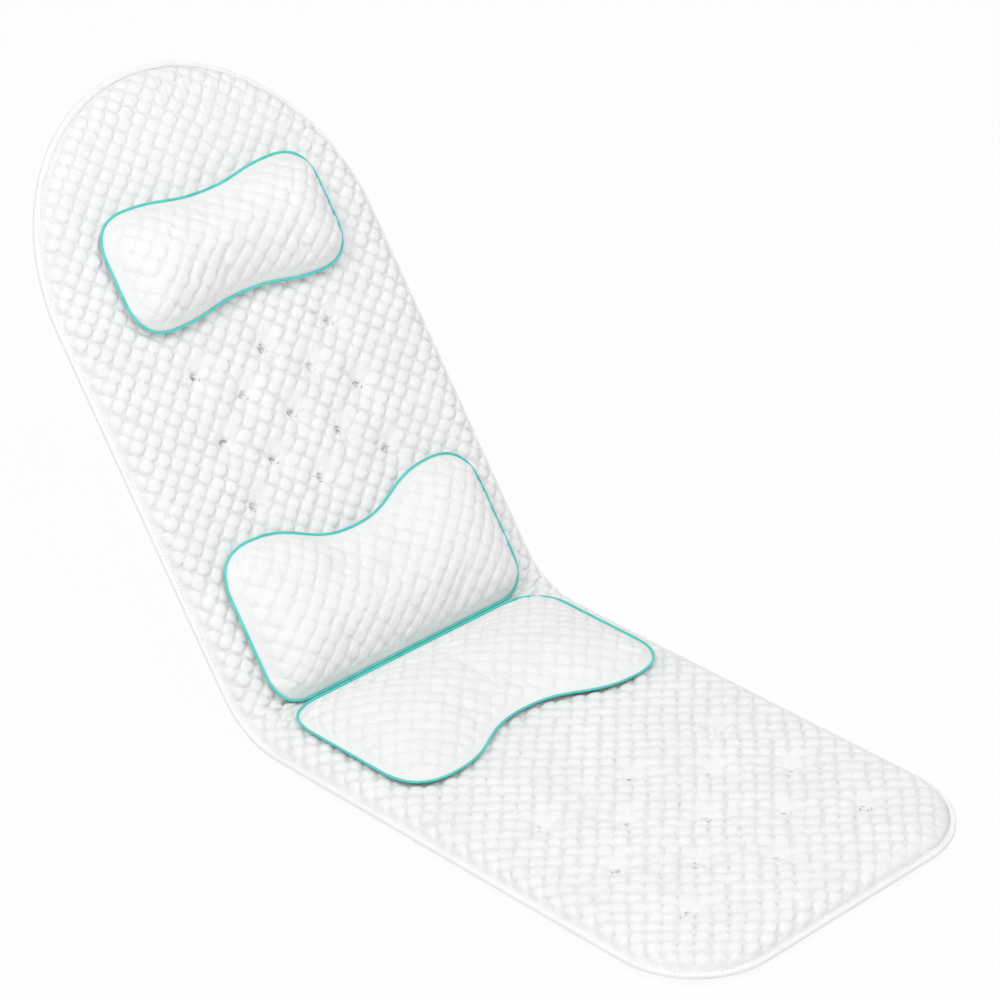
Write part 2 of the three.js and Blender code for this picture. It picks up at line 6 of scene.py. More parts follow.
import bpy
import numpy as np
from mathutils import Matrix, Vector


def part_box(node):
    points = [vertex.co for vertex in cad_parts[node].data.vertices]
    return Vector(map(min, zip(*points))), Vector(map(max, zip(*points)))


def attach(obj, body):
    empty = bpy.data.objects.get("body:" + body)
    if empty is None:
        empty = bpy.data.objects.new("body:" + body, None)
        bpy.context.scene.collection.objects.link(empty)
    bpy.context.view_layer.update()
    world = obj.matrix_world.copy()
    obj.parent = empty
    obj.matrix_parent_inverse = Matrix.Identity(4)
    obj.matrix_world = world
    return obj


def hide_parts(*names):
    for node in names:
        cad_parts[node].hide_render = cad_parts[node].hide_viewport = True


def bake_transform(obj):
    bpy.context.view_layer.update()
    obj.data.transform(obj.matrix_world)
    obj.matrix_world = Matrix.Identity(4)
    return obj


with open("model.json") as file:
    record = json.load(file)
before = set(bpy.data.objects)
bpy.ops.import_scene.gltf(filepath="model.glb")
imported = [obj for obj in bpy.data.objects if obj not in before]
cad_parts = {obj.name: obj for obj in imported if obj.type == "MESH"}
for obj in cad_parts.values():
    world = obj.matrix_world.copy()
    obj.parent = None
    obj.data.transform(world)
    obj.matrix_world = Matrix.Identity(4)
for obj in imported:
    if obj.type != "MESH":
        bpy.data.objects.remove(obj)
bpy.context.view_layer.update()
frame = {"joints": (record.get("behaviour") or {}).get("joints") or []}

# Sizes are in millimetres, as the part has them, and become metres in the placing functions.
# A wave is a pair: its height and its length. A fade is a pair: where it starts and how long it takes.
MM = 0.001
TINY = 1e-9

# Mat
HALF_WIDTH = 200.0
LEG_LENGTH = 575.0
BACK_LENGTH = 625.0
HEAD_ROUND = 212.0
FOOT_CORNER = 90.0
MAT_HEIGHT = 16.0
HEAD_START = BACK_LENGTH - HEAD_ROUND
FOOT_START = LEG_LENGTH - FOOT_CORNER
RIM_HEIGHT = 2.9
RIM_WIDTH = 6.6
SHOULDER = 21.4
SWAY = (0.8, 60.0)
PRESSED_IN = 1.0
STEEPEST = 2.0
PAD_BOTTOM = 1.5
PAD_INSET = 3.0
PAD_STEP = 1.3
PAD_BOTTOM_COLUMNS = 5
BACKING_THICK = 1.2
BACKING_INSET = 1.5
BACKING_STEP = 6.0
BACKING_COLUMNS = 41
BACKING_SAG = (0.25, 35.0)

# Rows round the mat's ends: how far they turn, and the length of that turn for a radius of 1
HEAD_TURN = math.radians(87.5)
HEAD_ARC = 1.54
FOOT_ARC = 1.57

# Length of the mat's rounded edge, as a share of the box round it
EDGE_SHARE = 0.92

# Fold
RECLINE = math.radians(54)
HINGE_HEIGHT = 6.0
FOLD_REACH = 20.0
FOLD_EDGE_REACH = 44.0
FOLD_EDGE_WIDTH = 48.0

# Puffs of the quilted cloth, on a staggered lattice that wanders a little
PUFF_ACROSS = 21.2
PUFF_ALONG = 19.8
PUFF_HEIGHT = 3.5
PUFF_SQUARE = 2.25
PUFF_FLAT = 2.4
PUFF_SIDE = 0.52
PUFF_VARIETY = 0.24
PUFF_STRAY = 0.09
PUFF_STRAY_SEEDS = (0.31, 0.67)
PUFF_SINK = 1.3
# Share of a puff's height below which its groove takes the painted shade
PUFF_GROOVE_SHADE_HEIGHT = 0.42
PUFF_SWIRLS = ((1.6, 45.0), (1.6, 50.0))

# Where the mat's puffs are fuller or calmer: at the rim, the head, the leg half and its right edge
PUFF_RIM_FADE = (RIM_WIDTH, 3.0)
PUFF_EDGE_FULL = 0.1
PUFF_EDGE_FADE = (12.0, 20.0)
PUFF_HEAD_CALM = 0.36
HEAD_CALM_FADE = (420.0, 140.0)
PUFF_LEG_FULL = 0.3
LEG_FULL_FADE = (150.0, 120.0)
LEG_FULL_INSIDE = (20.0, 40.0)
PUFF_RIGHT_CALM = 0.75
RIGHT_CALM_ACROSS = (0.0, 60.0)
RIGHT_CALM_ALONG = (30.0, 60.0)
RIGHT_CALM_INSIDE = (10.0, 16.0)

# Tufts: a wide pleated dent, a deep pit in its middle, a bent crease across it and smooth cloth beside it
TUFT_DENT = 6.0
TUFT_DENT_ROUND = 1.5
TUFT_REACH = 32.0
TUFT_PLEATS = 5
TUFT_PLEAT_DEPTH = 0.18
TUFT_PLEAT_START = 7.0
TUFT_PLEAT_TURN = 1.7
TUFT_PIT = 5.5
TUFT_PIT_RADIUS = 5.2
TUFT_PIT_ROUND = 1.3
TUFT_CREASE = 2.0
TUFT_CREASE_WIDTH = 2.6
TUFT_CREASE_LENGTH = 30.0
TUFT_CREASE_BEND = (3.0, 14.0)
TUFT_CALM_SHIFT = 8.0
TUFT_CALM_STRETCH = 1.45
TUFT_CALM_LEAST = 0.12
TUFT_CALM_FADE = (4.0, 13.0)
TUFT_DRAG = 0.35
TUFT_DRAG_REACH = 15.0
TUFT_ROWS = 5
LEG_TUFT_ACROSS = 58.0
LEG_TUFT_ALONG = 45.0
LEG_TUFT_START = 310.0
BACK_TUFT_ACROSS = 43.0
BACK_TUFT_ALONG = 34.0
BACK_TUFT_START = 191.0

# Thread of the tufts: strands bent round the pit, each turned on from the last, and a stitch below
STRANDS = 8
STRAND_FIRST = 0.8
STRAND_GAP = 0.62
STRAND_LENGTH = 3.8
STRAND_RADIUS = 0.34
STRAND_LIFT = 0.4
STRAND_POINTS = 7
STRAND_TURN = 2.4
STRAND_TURN_STRAY = 0.6
STRAND_WRAP = 1.1
STRAND_STRAY = 0.5
STRAND_WIDE = 1.3
STRAND_TALL = 0.8
TUFT_STITCH = 6.0

# Gathers: small folds that run in from the binding and out of the fold's ends, and crumples beside the fold
GATHER = 0.9
GATHER_VARIETY = (0.6, 21.0)
GATHER_STEP = 10.5
GATHER_REACH = 20.0
GATHER_WANDER = (5.0, 26.0)
GATHER_LEAN = (0.12, 33.0)
FOLD_GATHER = 1.9
FOLD_GATHER_STEP = 13.0
FOLD_GATHER_REACH = 24.0
FOLD_GATHER_SPREAD = 0.5
FOLD_GATHER_WANDER = (2.2, 19.0)
CRUMPLE = (0.9, 8.0)
CRUMPLE_WIDTH = 50.0
CRUMPLE_REACH = 170.0

# Binding tape
TAPE_WIDTH = 5.8
TAPE_TOP = 4.0
TAPE_BOTTOM = -1.2
TAPE_THICK = 0.9
TAPE_NOSE = 2.4
TAPE_NOSE_POINTS = 11
TAPE_NOSE_ROUND = 0.7
TAPE_FLAP_START = TAPE_NOSE + 0.6
TAPE_FLAP_POINTS = 6
TAPE_FLAP_FADE = (TAPE_NOSE, 5.0)
TAPE_UPPER = 2.0
TAPE_STEP = 2.0

# Unevenness of the tape: a dimple under the stitches, puckers, and waves that lift it and push it aside
TAPE_DIMPLE = 0.32
TAPE_DIMPLE_WIDTH = 1.1
TAPE_PUCKERS = ((0.1, 1.15), (0.1, 1.9))
TAPE_WAVE = (0.35, 9.5)
TAPE_WAVE_SWING = (1.0, 31.0)
TAPE_SMALL_WAVE = (0.25, 4.1)
TAPE_SMALL_START = 2.0
TAPE_LIFT = 0.5
TAPE_ASIDE = (0.45, 17.0)

# Stitches along the tape
STITCH_INSET = 4.4
STITCH_STEP = 3.9
STITCH_LENGTH = 2.7
STITCH_POINTS = 5
STITCH_LIFT = 0.05
STITCH_DIP = 0.45
THREAD_RADIUS = 0.42
THREAD_SIDES = 6
THREAD_END = 0.95
THREAD_END_ROUND = 4

# Pillows
PILLOW_FLOOR = MAT_HEIGHT + 0.3
PILLOW_STEP = 1.5
PILLOW_TOP_LIFT = 0.8
PILLOW_PUFF = 2.1
PILLOW_PUFF_FADE = (3.5, 9.0)
# How much of the painted groove shade the pillows' grooves take
PILLOW_GROOVE_SHADE = 0.5
PILLOW_SWIRLS = ((1.5, 40.0), (1.5, 43.0))
PILLOW_SINK_REACH = 40.0
CROWN_POWER = 4
CROWN_LEAST = 0.01
BASE_DRAW = 8.5
BASE_SIDE = ((0.14, 0.85), (0.4, 0.55), (0.72, 0.22), (1.0, 0.0))
EDGE_POINTS = 100

# Grids of the pillows: columns and rows for each step of size, and the share of the width they cover
GRID_COLUMNS = 3
GRID_ROWS = 1.35
GRID_WIDTH = 0.9999

# Seams of the pillows: the line that cord and cloth follow, the puckers along it and the cord
SEAM_STEP = 2.5
SEAM_POINTS = 480
SEAM_BATCH = 20000
PUCKER = 0.24
PUCKER_VARIETY = (0.16, 23.0)
PUCKER_WAVE = (1.0, 1.9)
PUCKER_SWING = (1.4, 9.0)
PUCKER_REACH = 12.0
PUCKER_START = 4.0
PIPING_RADIUS = 1.2
PIPING_PROUD = 1.1
PIPING_LIFT = 1.5
PIPING_SIDES = 12

# Cloth simulation of the pillow tops: grid, slack of the panel, pressure of the fill, largest movement
CLOTH_STEP = 6.0
CLOTH_SLACK = 0.012
CLOTH_PRESSURE = 4.0
CLOTH_MASS = 0.004
CLOTH_FRAMES = 20
CLOTH_MOVE = 4.0
CLOTH_SEAM_REACH = 25.0

# Suction cups
CUP_STAND = 9.0
CUP_HOLLOW = 3.4
CUP_HOLLOW_RADIUS = 18.0
CUP_HOLLOW_CURVE = 1.6
CUP_SIDES = 40
CUPS_A_HALF = 6
LEG_CUP_ROWS = (28.0, 266.5, 505.0)
LEG_CUP_ACROSS = 125.0
BACK_CUP_ROWS = (90.0, 300.0, 510.0)
BACK_CUP_ACROSS = 115.0

# Camera, as fitted to the photograph, in degrees and metres, with its lens in millimetres
CAMERA_AZIMUTH = -44.67
CAMERA_ELEVATION = 29.09
CAMERA_TARGET = Vector((0.0249, -0.0109, 0.2248))
CAMERA_DISTANCE = 3.5585
CAMERA_LENS = 138.44

# Light and floor, in metres
LAMP_TARGET = Vector((0, 0, 0.2))
LAMP_DISTANCE = 3.0
FLOOR_SIZE = 18
FLOOR_GREY = 0.88
FLOOR_GLOW = 0.95

# Slow waves of the drift: turns across, turns along, start and weight of each
DRIFT_WAVES = ((1.7, 0.6, 0.4, 1.0), (-0.9, 1.3, 2.1, 1.0), (2.3, 2.3, 5.0, 0.6))

# Numbers that mix a column and a row into one without a visible order
MIX_COLUMN = 12.9898
MIX_ROW = 78.233
MIX_SPREAD = 43758.5453

fold_joint = frame["joints"][0]
AXIS = Vector(fold_joint["pos_m"])
CENTRE_Y = AXIS.y / MM
FOOTING = AXIS.z / MM - HINGE_HEIGHT


# Placing

def on_leg(x, v, h):
    """A point of the leg half, v out from the fold, to the frame in metres."""
    return np.stack([x, CENTRE_Y - v, h + FOOTING], -1) * MM


def on_back(x, v, h):
    """A point of the back half, v up from the fold, to the frame in metres."""
    rise = h - HINGE_HEIGHT
    y = v * math.cos(RECLINE) - rise * math.sin(RECLINE) + CENTRE_Y
    z = v * math.sin(RECLINE) + rise * math.cos(RECLINE) + HINGE_HEIGHT + FOOTING
    return np.stack([x, y, z], -1) * MM


def on_mat(x, s, h):
    """A point of the flat pattern, s from the feet to the head with the fold at 0, to the frame in metres.

    The mat bends over a longer stretch at its edges than under the pillows.
    """
    x, s, h = np.broadcast_arrays(x, s, h)
    edge = eased(1 + (np.abs(x) - HALF_WIDTH) / FOLD_EDGE_WIDTH)
    reach = FOLD_REACH + (FOLD_EDGE_REACH - FOLD_REACH) * edge
    centre = HINGE_HEIGHT + reach / math.tan(RECLINE / 2)
    turn = np.clip((s + reach) / (2 * reach), 0, 1) * RECLINE
    bent = np.stack([
        x,
        (centre - h) * np.sin(turn) - reach + CENTRE_Y,
        centre - (centre - h) * np.cos(turn) + FOOTING,
    ], -1) * MM
    past = np.where(s > reach, 1.0, 0.0)[..., None]
    before = np.where(s < -reach, 1.0, 0.0)[..., None]
    flat = before * on_leg(x, -s, h) + past * on_back(x, s, h)
    return flat + (1 - past - before) * bent


PLACING = {"seat": on_leg, "back": on_back}


# Shapes of numbers

def eased(share):
    """From 0 to 1, with a level start and a level end."""
    share = np.clip(share, 0, 1)
    return share * share * (3 - 2 * share)


def rises(value, fade):
    """From 0 to 1 over a fade."""
    start, length = fade
    return eased((value - start) / length)


def scatter(column, row):
    """A fixed number from -1 to 1 for each cell of a lattice."""
    mixed = np.sin(column * MIX_COLUMN + row * MIX_ROW) * MIX_SPREAD
    return 2 * (mixed - np.floor(mixed)) - 1


def ripple(at, wave, start=0.0):
    """A wave along a line."""
    height, length = wave
    return height * np.sin(at / length + start)


def drift(x, s, wave):
    """A slow uneven wave over the cloth."""
    height, length = wave
    total = 0.0
    weights = 0.0
    for across, along, start, weight in DRIFT_WAVES:
        total = total + weight * np.sin(x / length * across + s / length * along + start)
        weights += weight
    return height * total / weights


def swirled(x, s, waves):
    """Places in the cloth, moved across and along by two slow waves."""
    return x + drift(x, s, waves[0]), s + drift(s, x, waves[1])


def half_width(s, inset):
    """Half the mat's width at s, on a line that runs inset inside its edge."""
    wide = HALF_WIDTH - inset
    corner = FOOT_CORNER - inset
    into_foot = np.clip(-s - FOOT_START, 0, corner)
    into_head = np.clip((s - HEAD_START) / (HEAD_ROUND - inset), 0, 1)
    width = wide * np.sqrt(1 - into_head ** 2)
    return width - corner + np.sqrt(corner ** 2 - into_foot ** 2)


def edge_distance(x, s):
    """How far inside the mat's edge a point lies."""
    x = np.abs(x)
    side = np.minimum(HALF_WIDTH - x, s + LEG_LENGTH)
    over = x - (HALF_WIDTH - FOOT_CORNER)
    down = -s - FOOT_START
    corner = FOOT_CORNER - np.hypot(np.maximum(over, 0), np.maximum(down, 0))
    side = np.where((over > 0) & (down > 0), corner, side)
    up = np.maximum(s - HEAD_START, 0)
    reach = np.hypot(x / HALF_WIDTH, up / HEAD_ROUND) + TINY
    slope = np.hypot(x / HALF_WIDTH ** 2, up / HEAD_ROUND ** 2) / reach + TINY
    return np.where(up > 0, (1 - reach) / slope, side)


def along_edge(x, s):
    """Length along the mat's edge, from the middle of its sides, at the place nearest to a point."""
    x = np.abs(x)
    head = np.maximum(s - HEAD_START, 0)
    up = np.minimum(s, HEAD_START) + HEAD_ROUND * np.arctan2(head, x + TINY)
    foot = np.maximum(-s - FOOT_START, 0)
    turn = np.arctan2(foot, np.maximum(x - HALF_WIDTH + FOOT_CORNER, 0) + TINY)
    past = np.maximum(HALF_WIDTH - FOOT_CORNER - x, 0) * np.where(foot > 0, 1.0, 0.0)
    return np.where(foot > 0, -FOOT_START - FOOT_CORNER * turn - past, up)


def tuft_places():
    """Where the tufts are sewn, in the flat pattern: rows of three and two in turn."""
    places = []
    for row in range(TUFT_ROWS):
        count = 3 - row % 2
        for i in range(count):
            across = 2 * i - (count - 1)
            places.append((across * LEG_TUFT_ACROSS, -LEG_TUFT_START - row * LEG_TUFT_ALONG))
            places.append((across * BACK_TUFT_ACROSS, BACK_TUFT_START + row * BACK_TUFT_ALONG))
    return places


TUFTS = tuft_places()


def puffs(across, along, chain=1.0):
    """Height of the puffs from 0 to about 1; chain under 1 runs them together along one diagonal."""
    a = along / PUFF_ALONG + across / PUFF_ACROSS
    b = along / PUFF_ALONG - across / PUFF_ACROSS
    column_seed, row_seed = PUFF_STRAY_SEEDS
    height = np.zeros_like(a)
    for i in (-1, 0, 1):
        for j in (-1, 0, 1):
            column, row = np.round(a) + i, np.round(b) + j
            u = np.abs(a - column - PUFF_STRAY * scatter(column + column_seed, row)) * chain
            w = np.abs(b - row - PUFF_STRAY * scatter(column, row + row_seed))
            far = 2 * (u ** PUFF_SQUARE + w ** PUFF_SQUARE) ** (1 / PUFF_SQUARE)
            full = 1 + PUFF_VARIETY * scatter(column, row)
            height = np.maximum(height, full * np.clip(1 - far ** PUFF_FLAT, 0, 1) ** PUFF_SIDE)
    return height


def tufted(x, s):
    """How deep the tufts pull the cloth in, how far they smooth its puffs and where they drag it to."""
    depth = np.zeros_like(x)
    calm = np.ones_like(x)
    drag_x = np.zeros_like(x)
    drag_s = np.zeros_like(x)
    for i, (tuft_x, tuft_s) in enumerate(TUFTS):
        dx, ds = x - tuft_x, s - tuft_s
        far = np.hypot(dx, ds)
        pull = np.clip(1 - far / TUFT_REACH, 0, 1)
        pleats = np.cos(TUFT_PLEATS * np.arctan2(ds, dx) + TUFT_PLEAT_TURN * i)
        dent = 1 + TUFT_PLEAT_DEPTH * pleats * eased(far / TUFT_PLEAT_START) * pull
        dent = TUFT_DENT * pull ** TUFT_DENT_ROUND * dent
        pit = TUFT_PIT * np.clip(1 - (far / TUFT_PIT_RADIUS) ** 2, 0, 1) ** TUFT_PIT_ROUND
        run = (dx - ds) / math.sqrt(2)
        rise = (dx + ds) / math.sqrt(2)
        aside = rise - ripple(run, TUFT_CREASE_BEND, i)
        crease = np.exp(-(aside / TUFT_CREASE_WIDTH) ** 2 - (run / TUFT_CREASE_LENGTH) ** 2)
        depth = np.maximum(depth, dent + pit + TUFT_CREASE * crease)
        smooth = np.hypot(run, (rise - TUFT_CALM_SHIFT) / TUFT_CALM_STRETCH)
        calm = np.minimum(calm, TUFT_CALM_LEAST + (1 - TUFT_CALM_LEAST) * rises(smooth, TUFT_CALM_FADE))
        near = TUFT_DRAG * np.exp(-(far / TUFT_DRAG_REACH) ** 2)
        drag_x = drag_x + dx * near
        drag_s = drag_s + ds * near
    return depth, calm, drag_x, drag_s


# Outlines of the pillows, as the near and the far edge over the distance x from the middle

def pillow_edge(half, level, dip, rounding, x):
    """One edge of a pillow: level at its ends, dipping in the middle and rounded off into the sides.

    The dip is a cubic curve whose two handles lie half way out.
    """
    x = np.minimum(np.abs(x), half)
    turn = half - rounding
    t = np.linspace(0, 1, EDGE_POINTS)
    bend_x = turn * (1.5 * t * (1 - t) + t ** 3)
    bend = dip * (1 - t) ** 2 * (1 + 2 * t)
    corner = rounding * (1 - np.sqrt(np.clip((half - x) / rounding, 0, 1))) ** 2
    return level + np.where(x > turn, corner, np.interp(x, bend_x, bend))


def outline(half, near, far, near_dip, far_dip, near_round, far_round):
    """A pillow's outline: half its width, and a function that gives its near and far edge at x."""
    def edges(x):
        low = pillow_edge(half, near, near_dip, near_round, x)
        high = -pillow_edge(half, -far, far_dip, far_round, x)
        return low, high

    return half, edges


# Each seam stands above the mat and sinks toward the fold, and each crown rises over reach from the seam
HEAD = dict(
    name="head_pillow", body="back", seam=10, sink=0.0, rise=33, reach=52, chain=0.91,
    shape=outline(half=133, near=376, far=496, near_dip=9, far_dip=9, near_round=40, far_round=40),
)
LUMBAR = dict(
    name="lumbar_pillow", body="back", seam=8, sink=0.8, rise=32, reach=54, chain=0.91,
    shape=outline(half=162, near=8, far=164, near_dip=0, far_dip=29, near_round=38, far_round=44),
)
SEAT = dict(
    name="seat_pillow", body="seat", seam=6, sink=2.3, rise=18, reach=76, chain=1.0,
    shape=outline(half=167, near=15, far=199, near_dip=0, far_dip=33, near_round=46, far_round=46),
)
PILLOWS = (HEAD, LUMBAR, SEAT)


def graded(count):
    """Steps from -1 to 1 that close up toward both ends."""
    u = np.linspace(-1, 1, count)
    return 1.5 * u - 0.5 * u ** 3


def pillow_grid(shape, step):
    """Columns and rows of points over a pillow's outline."""
    half, edges = shape
    x = GRID_WIDTH * half * graded(int(GRID_COLUMNS * half / step))
    low, high = edges(x)
    rows = int(GRID_ROWS * np.max(high - low) / step)
    share = (1 + (graded(rows) + np.linspace(-1, 1, rows)) / 2) / 2
    v = low[None, :] + share[:, None] * (high - low)[None, :]
    return np.broadcast_to(x, v.shape), v


def rim_of(rows, columns):
    """Indices round the rim of a grid, anticlockwise seen from above."""
    index = np.arange(rows * columns).reshape(rows, columns)
    return np.concatenate([index[0, :-1], index[:-1, -1], index[-1, :0:-1], index[:0:-1, 0]])


def evened(loop, count):
    """Even points along a closed line, their inward directions and their length along it."""
    closed = np.concatenate([loop, loop[:1]])
    long = np.concatenate([[0], np.cumsum(np.hypot(*np.diff(closed, axis=0).T))])
    at = np.linspace(0, long[-1], count, endpoint=False)
    even = np.stack([np.interp(at, long, closed[:, i]) for i in (0, 1)], -1)
    along = np.roll(even, -1, 0) - np.roll(even, 1, 0)
    along /= np.linalg.norm(along, axis=1)[:, None]
    inward = np.stack([-along[:, 1], along[:, 0]], -1)
    return even, inward, at


def seam_line(shape):
    """A pillow's seam as an evened line."""
    x, v = pillow_grid(shape, SEAM_STEP)
    rim = rim_of(*x.shape)
    return evened(np.stack([x.ravel()[rim], v.ravel()[rim]], -1), SEAM_POINTS)


def seam_distance(loop, at, x, v):
    """How far each point is from a seam, and the seam's own length at the nearest place."""
    points = np.stack([x.ravel(), v.ravel()], -1)
    far = np.empty(len(points))
    place = np.empty(len(points))
    for start in range(0, len(points), SEAM_BATCH):
        batch = slice(start, start + SEAM_BATCH)
        gaps = ((points[batch, None, :] - loop[None, :, :]) ** 2).sum(-1)
        far[batch] = np.sqrt(gaps.min(1))
        place[batch] = at[gaps.argmin(1)]
    return far.reshape(x.shape), place.reshape(x.shape)


# Meshes

def grid_faces(rows, columns, start=0, around=False):
    """Faces of a grid of points, closed from its last column to its first where it goes around."""
    row = np.arange(rows - 1)[:, None]
    column = np.arange(columns if around else columns - 1)[None, :]
    after = (column + 1) % columns
    corners = [row * columns + column, row * columns + after,
               (row + 1) * columns + after, (row + 1) * columns + column]
    return start + np.stack(np.broadcast_arrays(*corners), -1).reshape(-1, 4)


def ring_faces(rows, columns):
    """Faces of a grid of points that is closed both ways."""
    return grid_faces(rows + 1, columns, around=True) % (rows * columns)


def flat_places(*grids):
    """Places in the flat cloth, in metres, for the points of one or more grids."""
    return np.concatenate([np.stack(np.broadcast_arrays(a, b), -1).reshape(-1, 2) for a, b in grids]) * MM


def beside(line, inward, inset):
    """Places across and along, for a row of insets from each point of a line."""
    return [line[:, i, None] + inward[:, i, None] * inset for i in (0, 1)]


def build(name, points, faces, material, cloth=None, swell=None):
    """A smooth mesh object from points in metres and face arrays.

    cloth gives each point's place in the flat cloth, and swell is 0 in its grooves and 1 on its puffs; where
    it is 0 the grooves take a painted shade.
    """
    mesh = bpy.data.meshes.new(name)
    corners = np.concatenate([f.ravel() for f in faces]).astype(np.int32)
    sizes = np.concatenate([np.full(len(f), f.shape[1]) for f in faces])
    mesh.vertices.add(len(points))
    mesh.vertices.foreach_set("co", np.asarray(points, np.float32).ravel())
    mesh.loops.add(len(corners))
    mesh.loops.foreach_set("vertex_index", corners)
    mesh.polygons.add(len(sizes))
    starts = np.concatenate([[0], np.cumsum(sizes)[:-1]])
    mesh.polygons.foreach_set("loop_start", starts.astype(np.int32))
    mesh.update(calc_edges=True)
    mesh.validate()
    mesh.shade_smooth()
    if cloth is not None:
        layer = mesh.uv_layers.new(name="cloth")
        layer.uv.foreach_set("vector", np.asarray(cloth, np.float32)[corners].ravel())
    if swell is not None:
        layer = mesh.attributes.new("swell", "FLOAT", "POINT")
        layer.data.foreach_set("value", np.asarray(swell, np.float32))
    mesh.materials.append(material)
    piece = bpy.data.objects.new(name, mesh)
    bpy.context.scene.collection.objects.link(piece)
    return piece


def across_fold(piece):
    """Bakes a piece's placing into its points."""
    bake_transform(piece)


# Materials

class Nodes:
    """Short ways to lay out the nodes of a material or a world."""

    def __init__(self, owner):
        self.owner = owner
        owner.use_nodes = True
        self.tree = owner.node_tree

    def add(self, kind, links=None, **settings):
        node = self.tree.nodes.new(kind)
        for key, value in settings.items():
            setattr(node, key, value)
        for socket, value in (links or {}).items():
            self.feed(node, socket, value)
        return node

    def feed(self, node, socket, value):
        if isinstance(value, bpy.types.NodeSocket):
            self.tree.links.new(value, node.inputs[socket])
        else:
            node.inputs[socket].default_value = value

    def set(self, **values):
        """Feeds the sockets of the material's shader."""
        for key, value in values.items():
            self.feed(self.tree.nodes["Principled BSDF"], key.replace("_", " "), value)

    def math(self, operation, a, b=0.0):
        return self.add("ShaderNodeMath", {0: a, 1: b}, operation=operation).outputs[0]

    def place(self):
        return self.add("ShaderNodeTexCoord").outputs["Object"]

    def cloth(self):
        return self.add("ShaderNodeUVMap", uv_map="cloth").outputs["UV"]

    def noise(self, scale):
        return self.add("ShaderNodeTexNoise", {"Vector": self.place(), "Scale": scale}).outputs["Fac"]

    def twill(self, scale, distortion):
        links = {"Vector": self.cloth(), "Scale": scale, "Distortion": distortion}
        return self.add("ShaderNodeTexWave", links, bands_direction="DIAGONAL").outputs["Fac"]

    def ramp(self, factor, stops, low, high):
        """low up to the first stop and high from the second."""
        node = self.add("ShaderNodeValToRGB", {"Fac": factor})
        for element, stop, colour in zip(node.color_ramp.elements, stops, (low, high)):
            element.position = stop
            element.color = (*colour, 1)
        return node.outputs["Color"]

    def shade(self, scale, dark, light, stops=(0.3, 0.7)):
        """A colour that drifts between two over the surface."""
        return self.ramp(self.noise(scale), stops, dark, light)

    def seen_rays(self):
        """1 for rays that show the background, 0 for rays that light the object."""
        path = self.add("ShaderNodeLightPath").outputs
        mirrored = self.math("MAXIMUM", path["Is Camera Ray"], path["Is Glossy Ray"])
        return self.math("MAXIMUM", mirrored, path["Is Transmission Ray"])

    def blend(self, share, under, over):
        links = {"Factor": share, "A": under, "B": over}
        return self.add("ShaderNodeMix", data_type="RGBA", links=links).outputs["Result"]

    def bump(self, height, strength, distance, over=None):
        links = {"Height": height, "Strength": strength, "Distance": distance}
        if over is not None:
            links["Normal"] = over
        return self.add("ShaderNodeBump", links).outputs["Normal"]


def grey(value):
    return (value, value, value)


def knit(nodes, vector, across, along, lean=0.9, weight=0.5):
    """Height of a knit: rows of small loops, across and along in stitches a metre."""
    split = nodes.add("ShaderNodeSeparateXYZ", {0: vector})
    turns_x = nodes.math("MULTIPLY", split.outputs["X"], across * 2 * math.pi)
    turns_y = nodes.math("MULTIPLY", split.outputs["Y"], along * 2 * math.pi)
    aside = nodes.math("MULTIPLY", nodes.math("SINE", turns_x), lean)
    loops = nodes.math("SINE", nodes.math("ADD", turns_y, aside))
    ribs = nodes.math("ABSOLUTE", nodes.math("SINE", nodes.math("MULTIPLY", turns_x, 0.5)))
    return nodes.math("ADD", nodes.math("MULTIPLY", loops, weight), ribs)


def mesh_holes(nodes, vector, count):
    """1 in the holes of an open mesh, in staggered rows of count holes a metre, and 0 on its threads."""
    split = nodes.add("ShaderNodeSeparateXYZ", {0: vector})
    turns = [nodes.math("MULTIPLY", split.outputs[axis], count * 2 * math.pi) for axis in "XY"]
    waves = [nodes.math("SINE", turn) for turn in turns]
    return nodes.ramp(nodes.math("MULTIPLY", *waves), stops=(0.3, 0.6), low=grey(0), high=grey(1))


def quilted_cloth():
    nodes = Nodes(bpy.data.materials.new("quilted_mesh"))
    shade = nodes.shade(scale=22.0, dark=(0.87, 0.87, 0.875), light=grey(0.91))
    # Painted shade: where swell is 0, in the grooves between the puffs, the cloth takes a darker grey.
    swell = nodes.add("ShaderNodeAttribute", attribute_name="swell").outputs["Fac"]
    shade = nodes.blend(swell, under=(0.79, 0.79, 0.80, 1), over=shade)
    fuzz = nodes.bump(nodes.noise(scale=900.0), strength=0.15, distance=0.0004)
    loops = knit(nodes, nodes.cloth(), across=700.0, along=800.0)
    loops = nodes.bump(loops, strength=0.35, distance=0.0004, over=fuzz)
    nodes.set(Base_Color=shade, Roughness=0.85, Sheen_Weight=0.15, Sheen_Roughness=0.5, Normal=loops)
    return nodes.owner


def tape_cloth():
    nodes = Nodes(bpy.data.materials.new("binding_tape"))
    shade = nodes.shade(scale=60.0, dark=(0.88, 0.88, 0.885), light=grey(0.92))
    ribs = nodes.bump(nodes.twill(scale=210.0, distortion=0.6), strength=0.4, distance=0.0003)
    nodes.set(Base_Color=shade, Roughness=0.75, Sheen_Weight=0.1, Normal=ribs)
    return nodes.owner


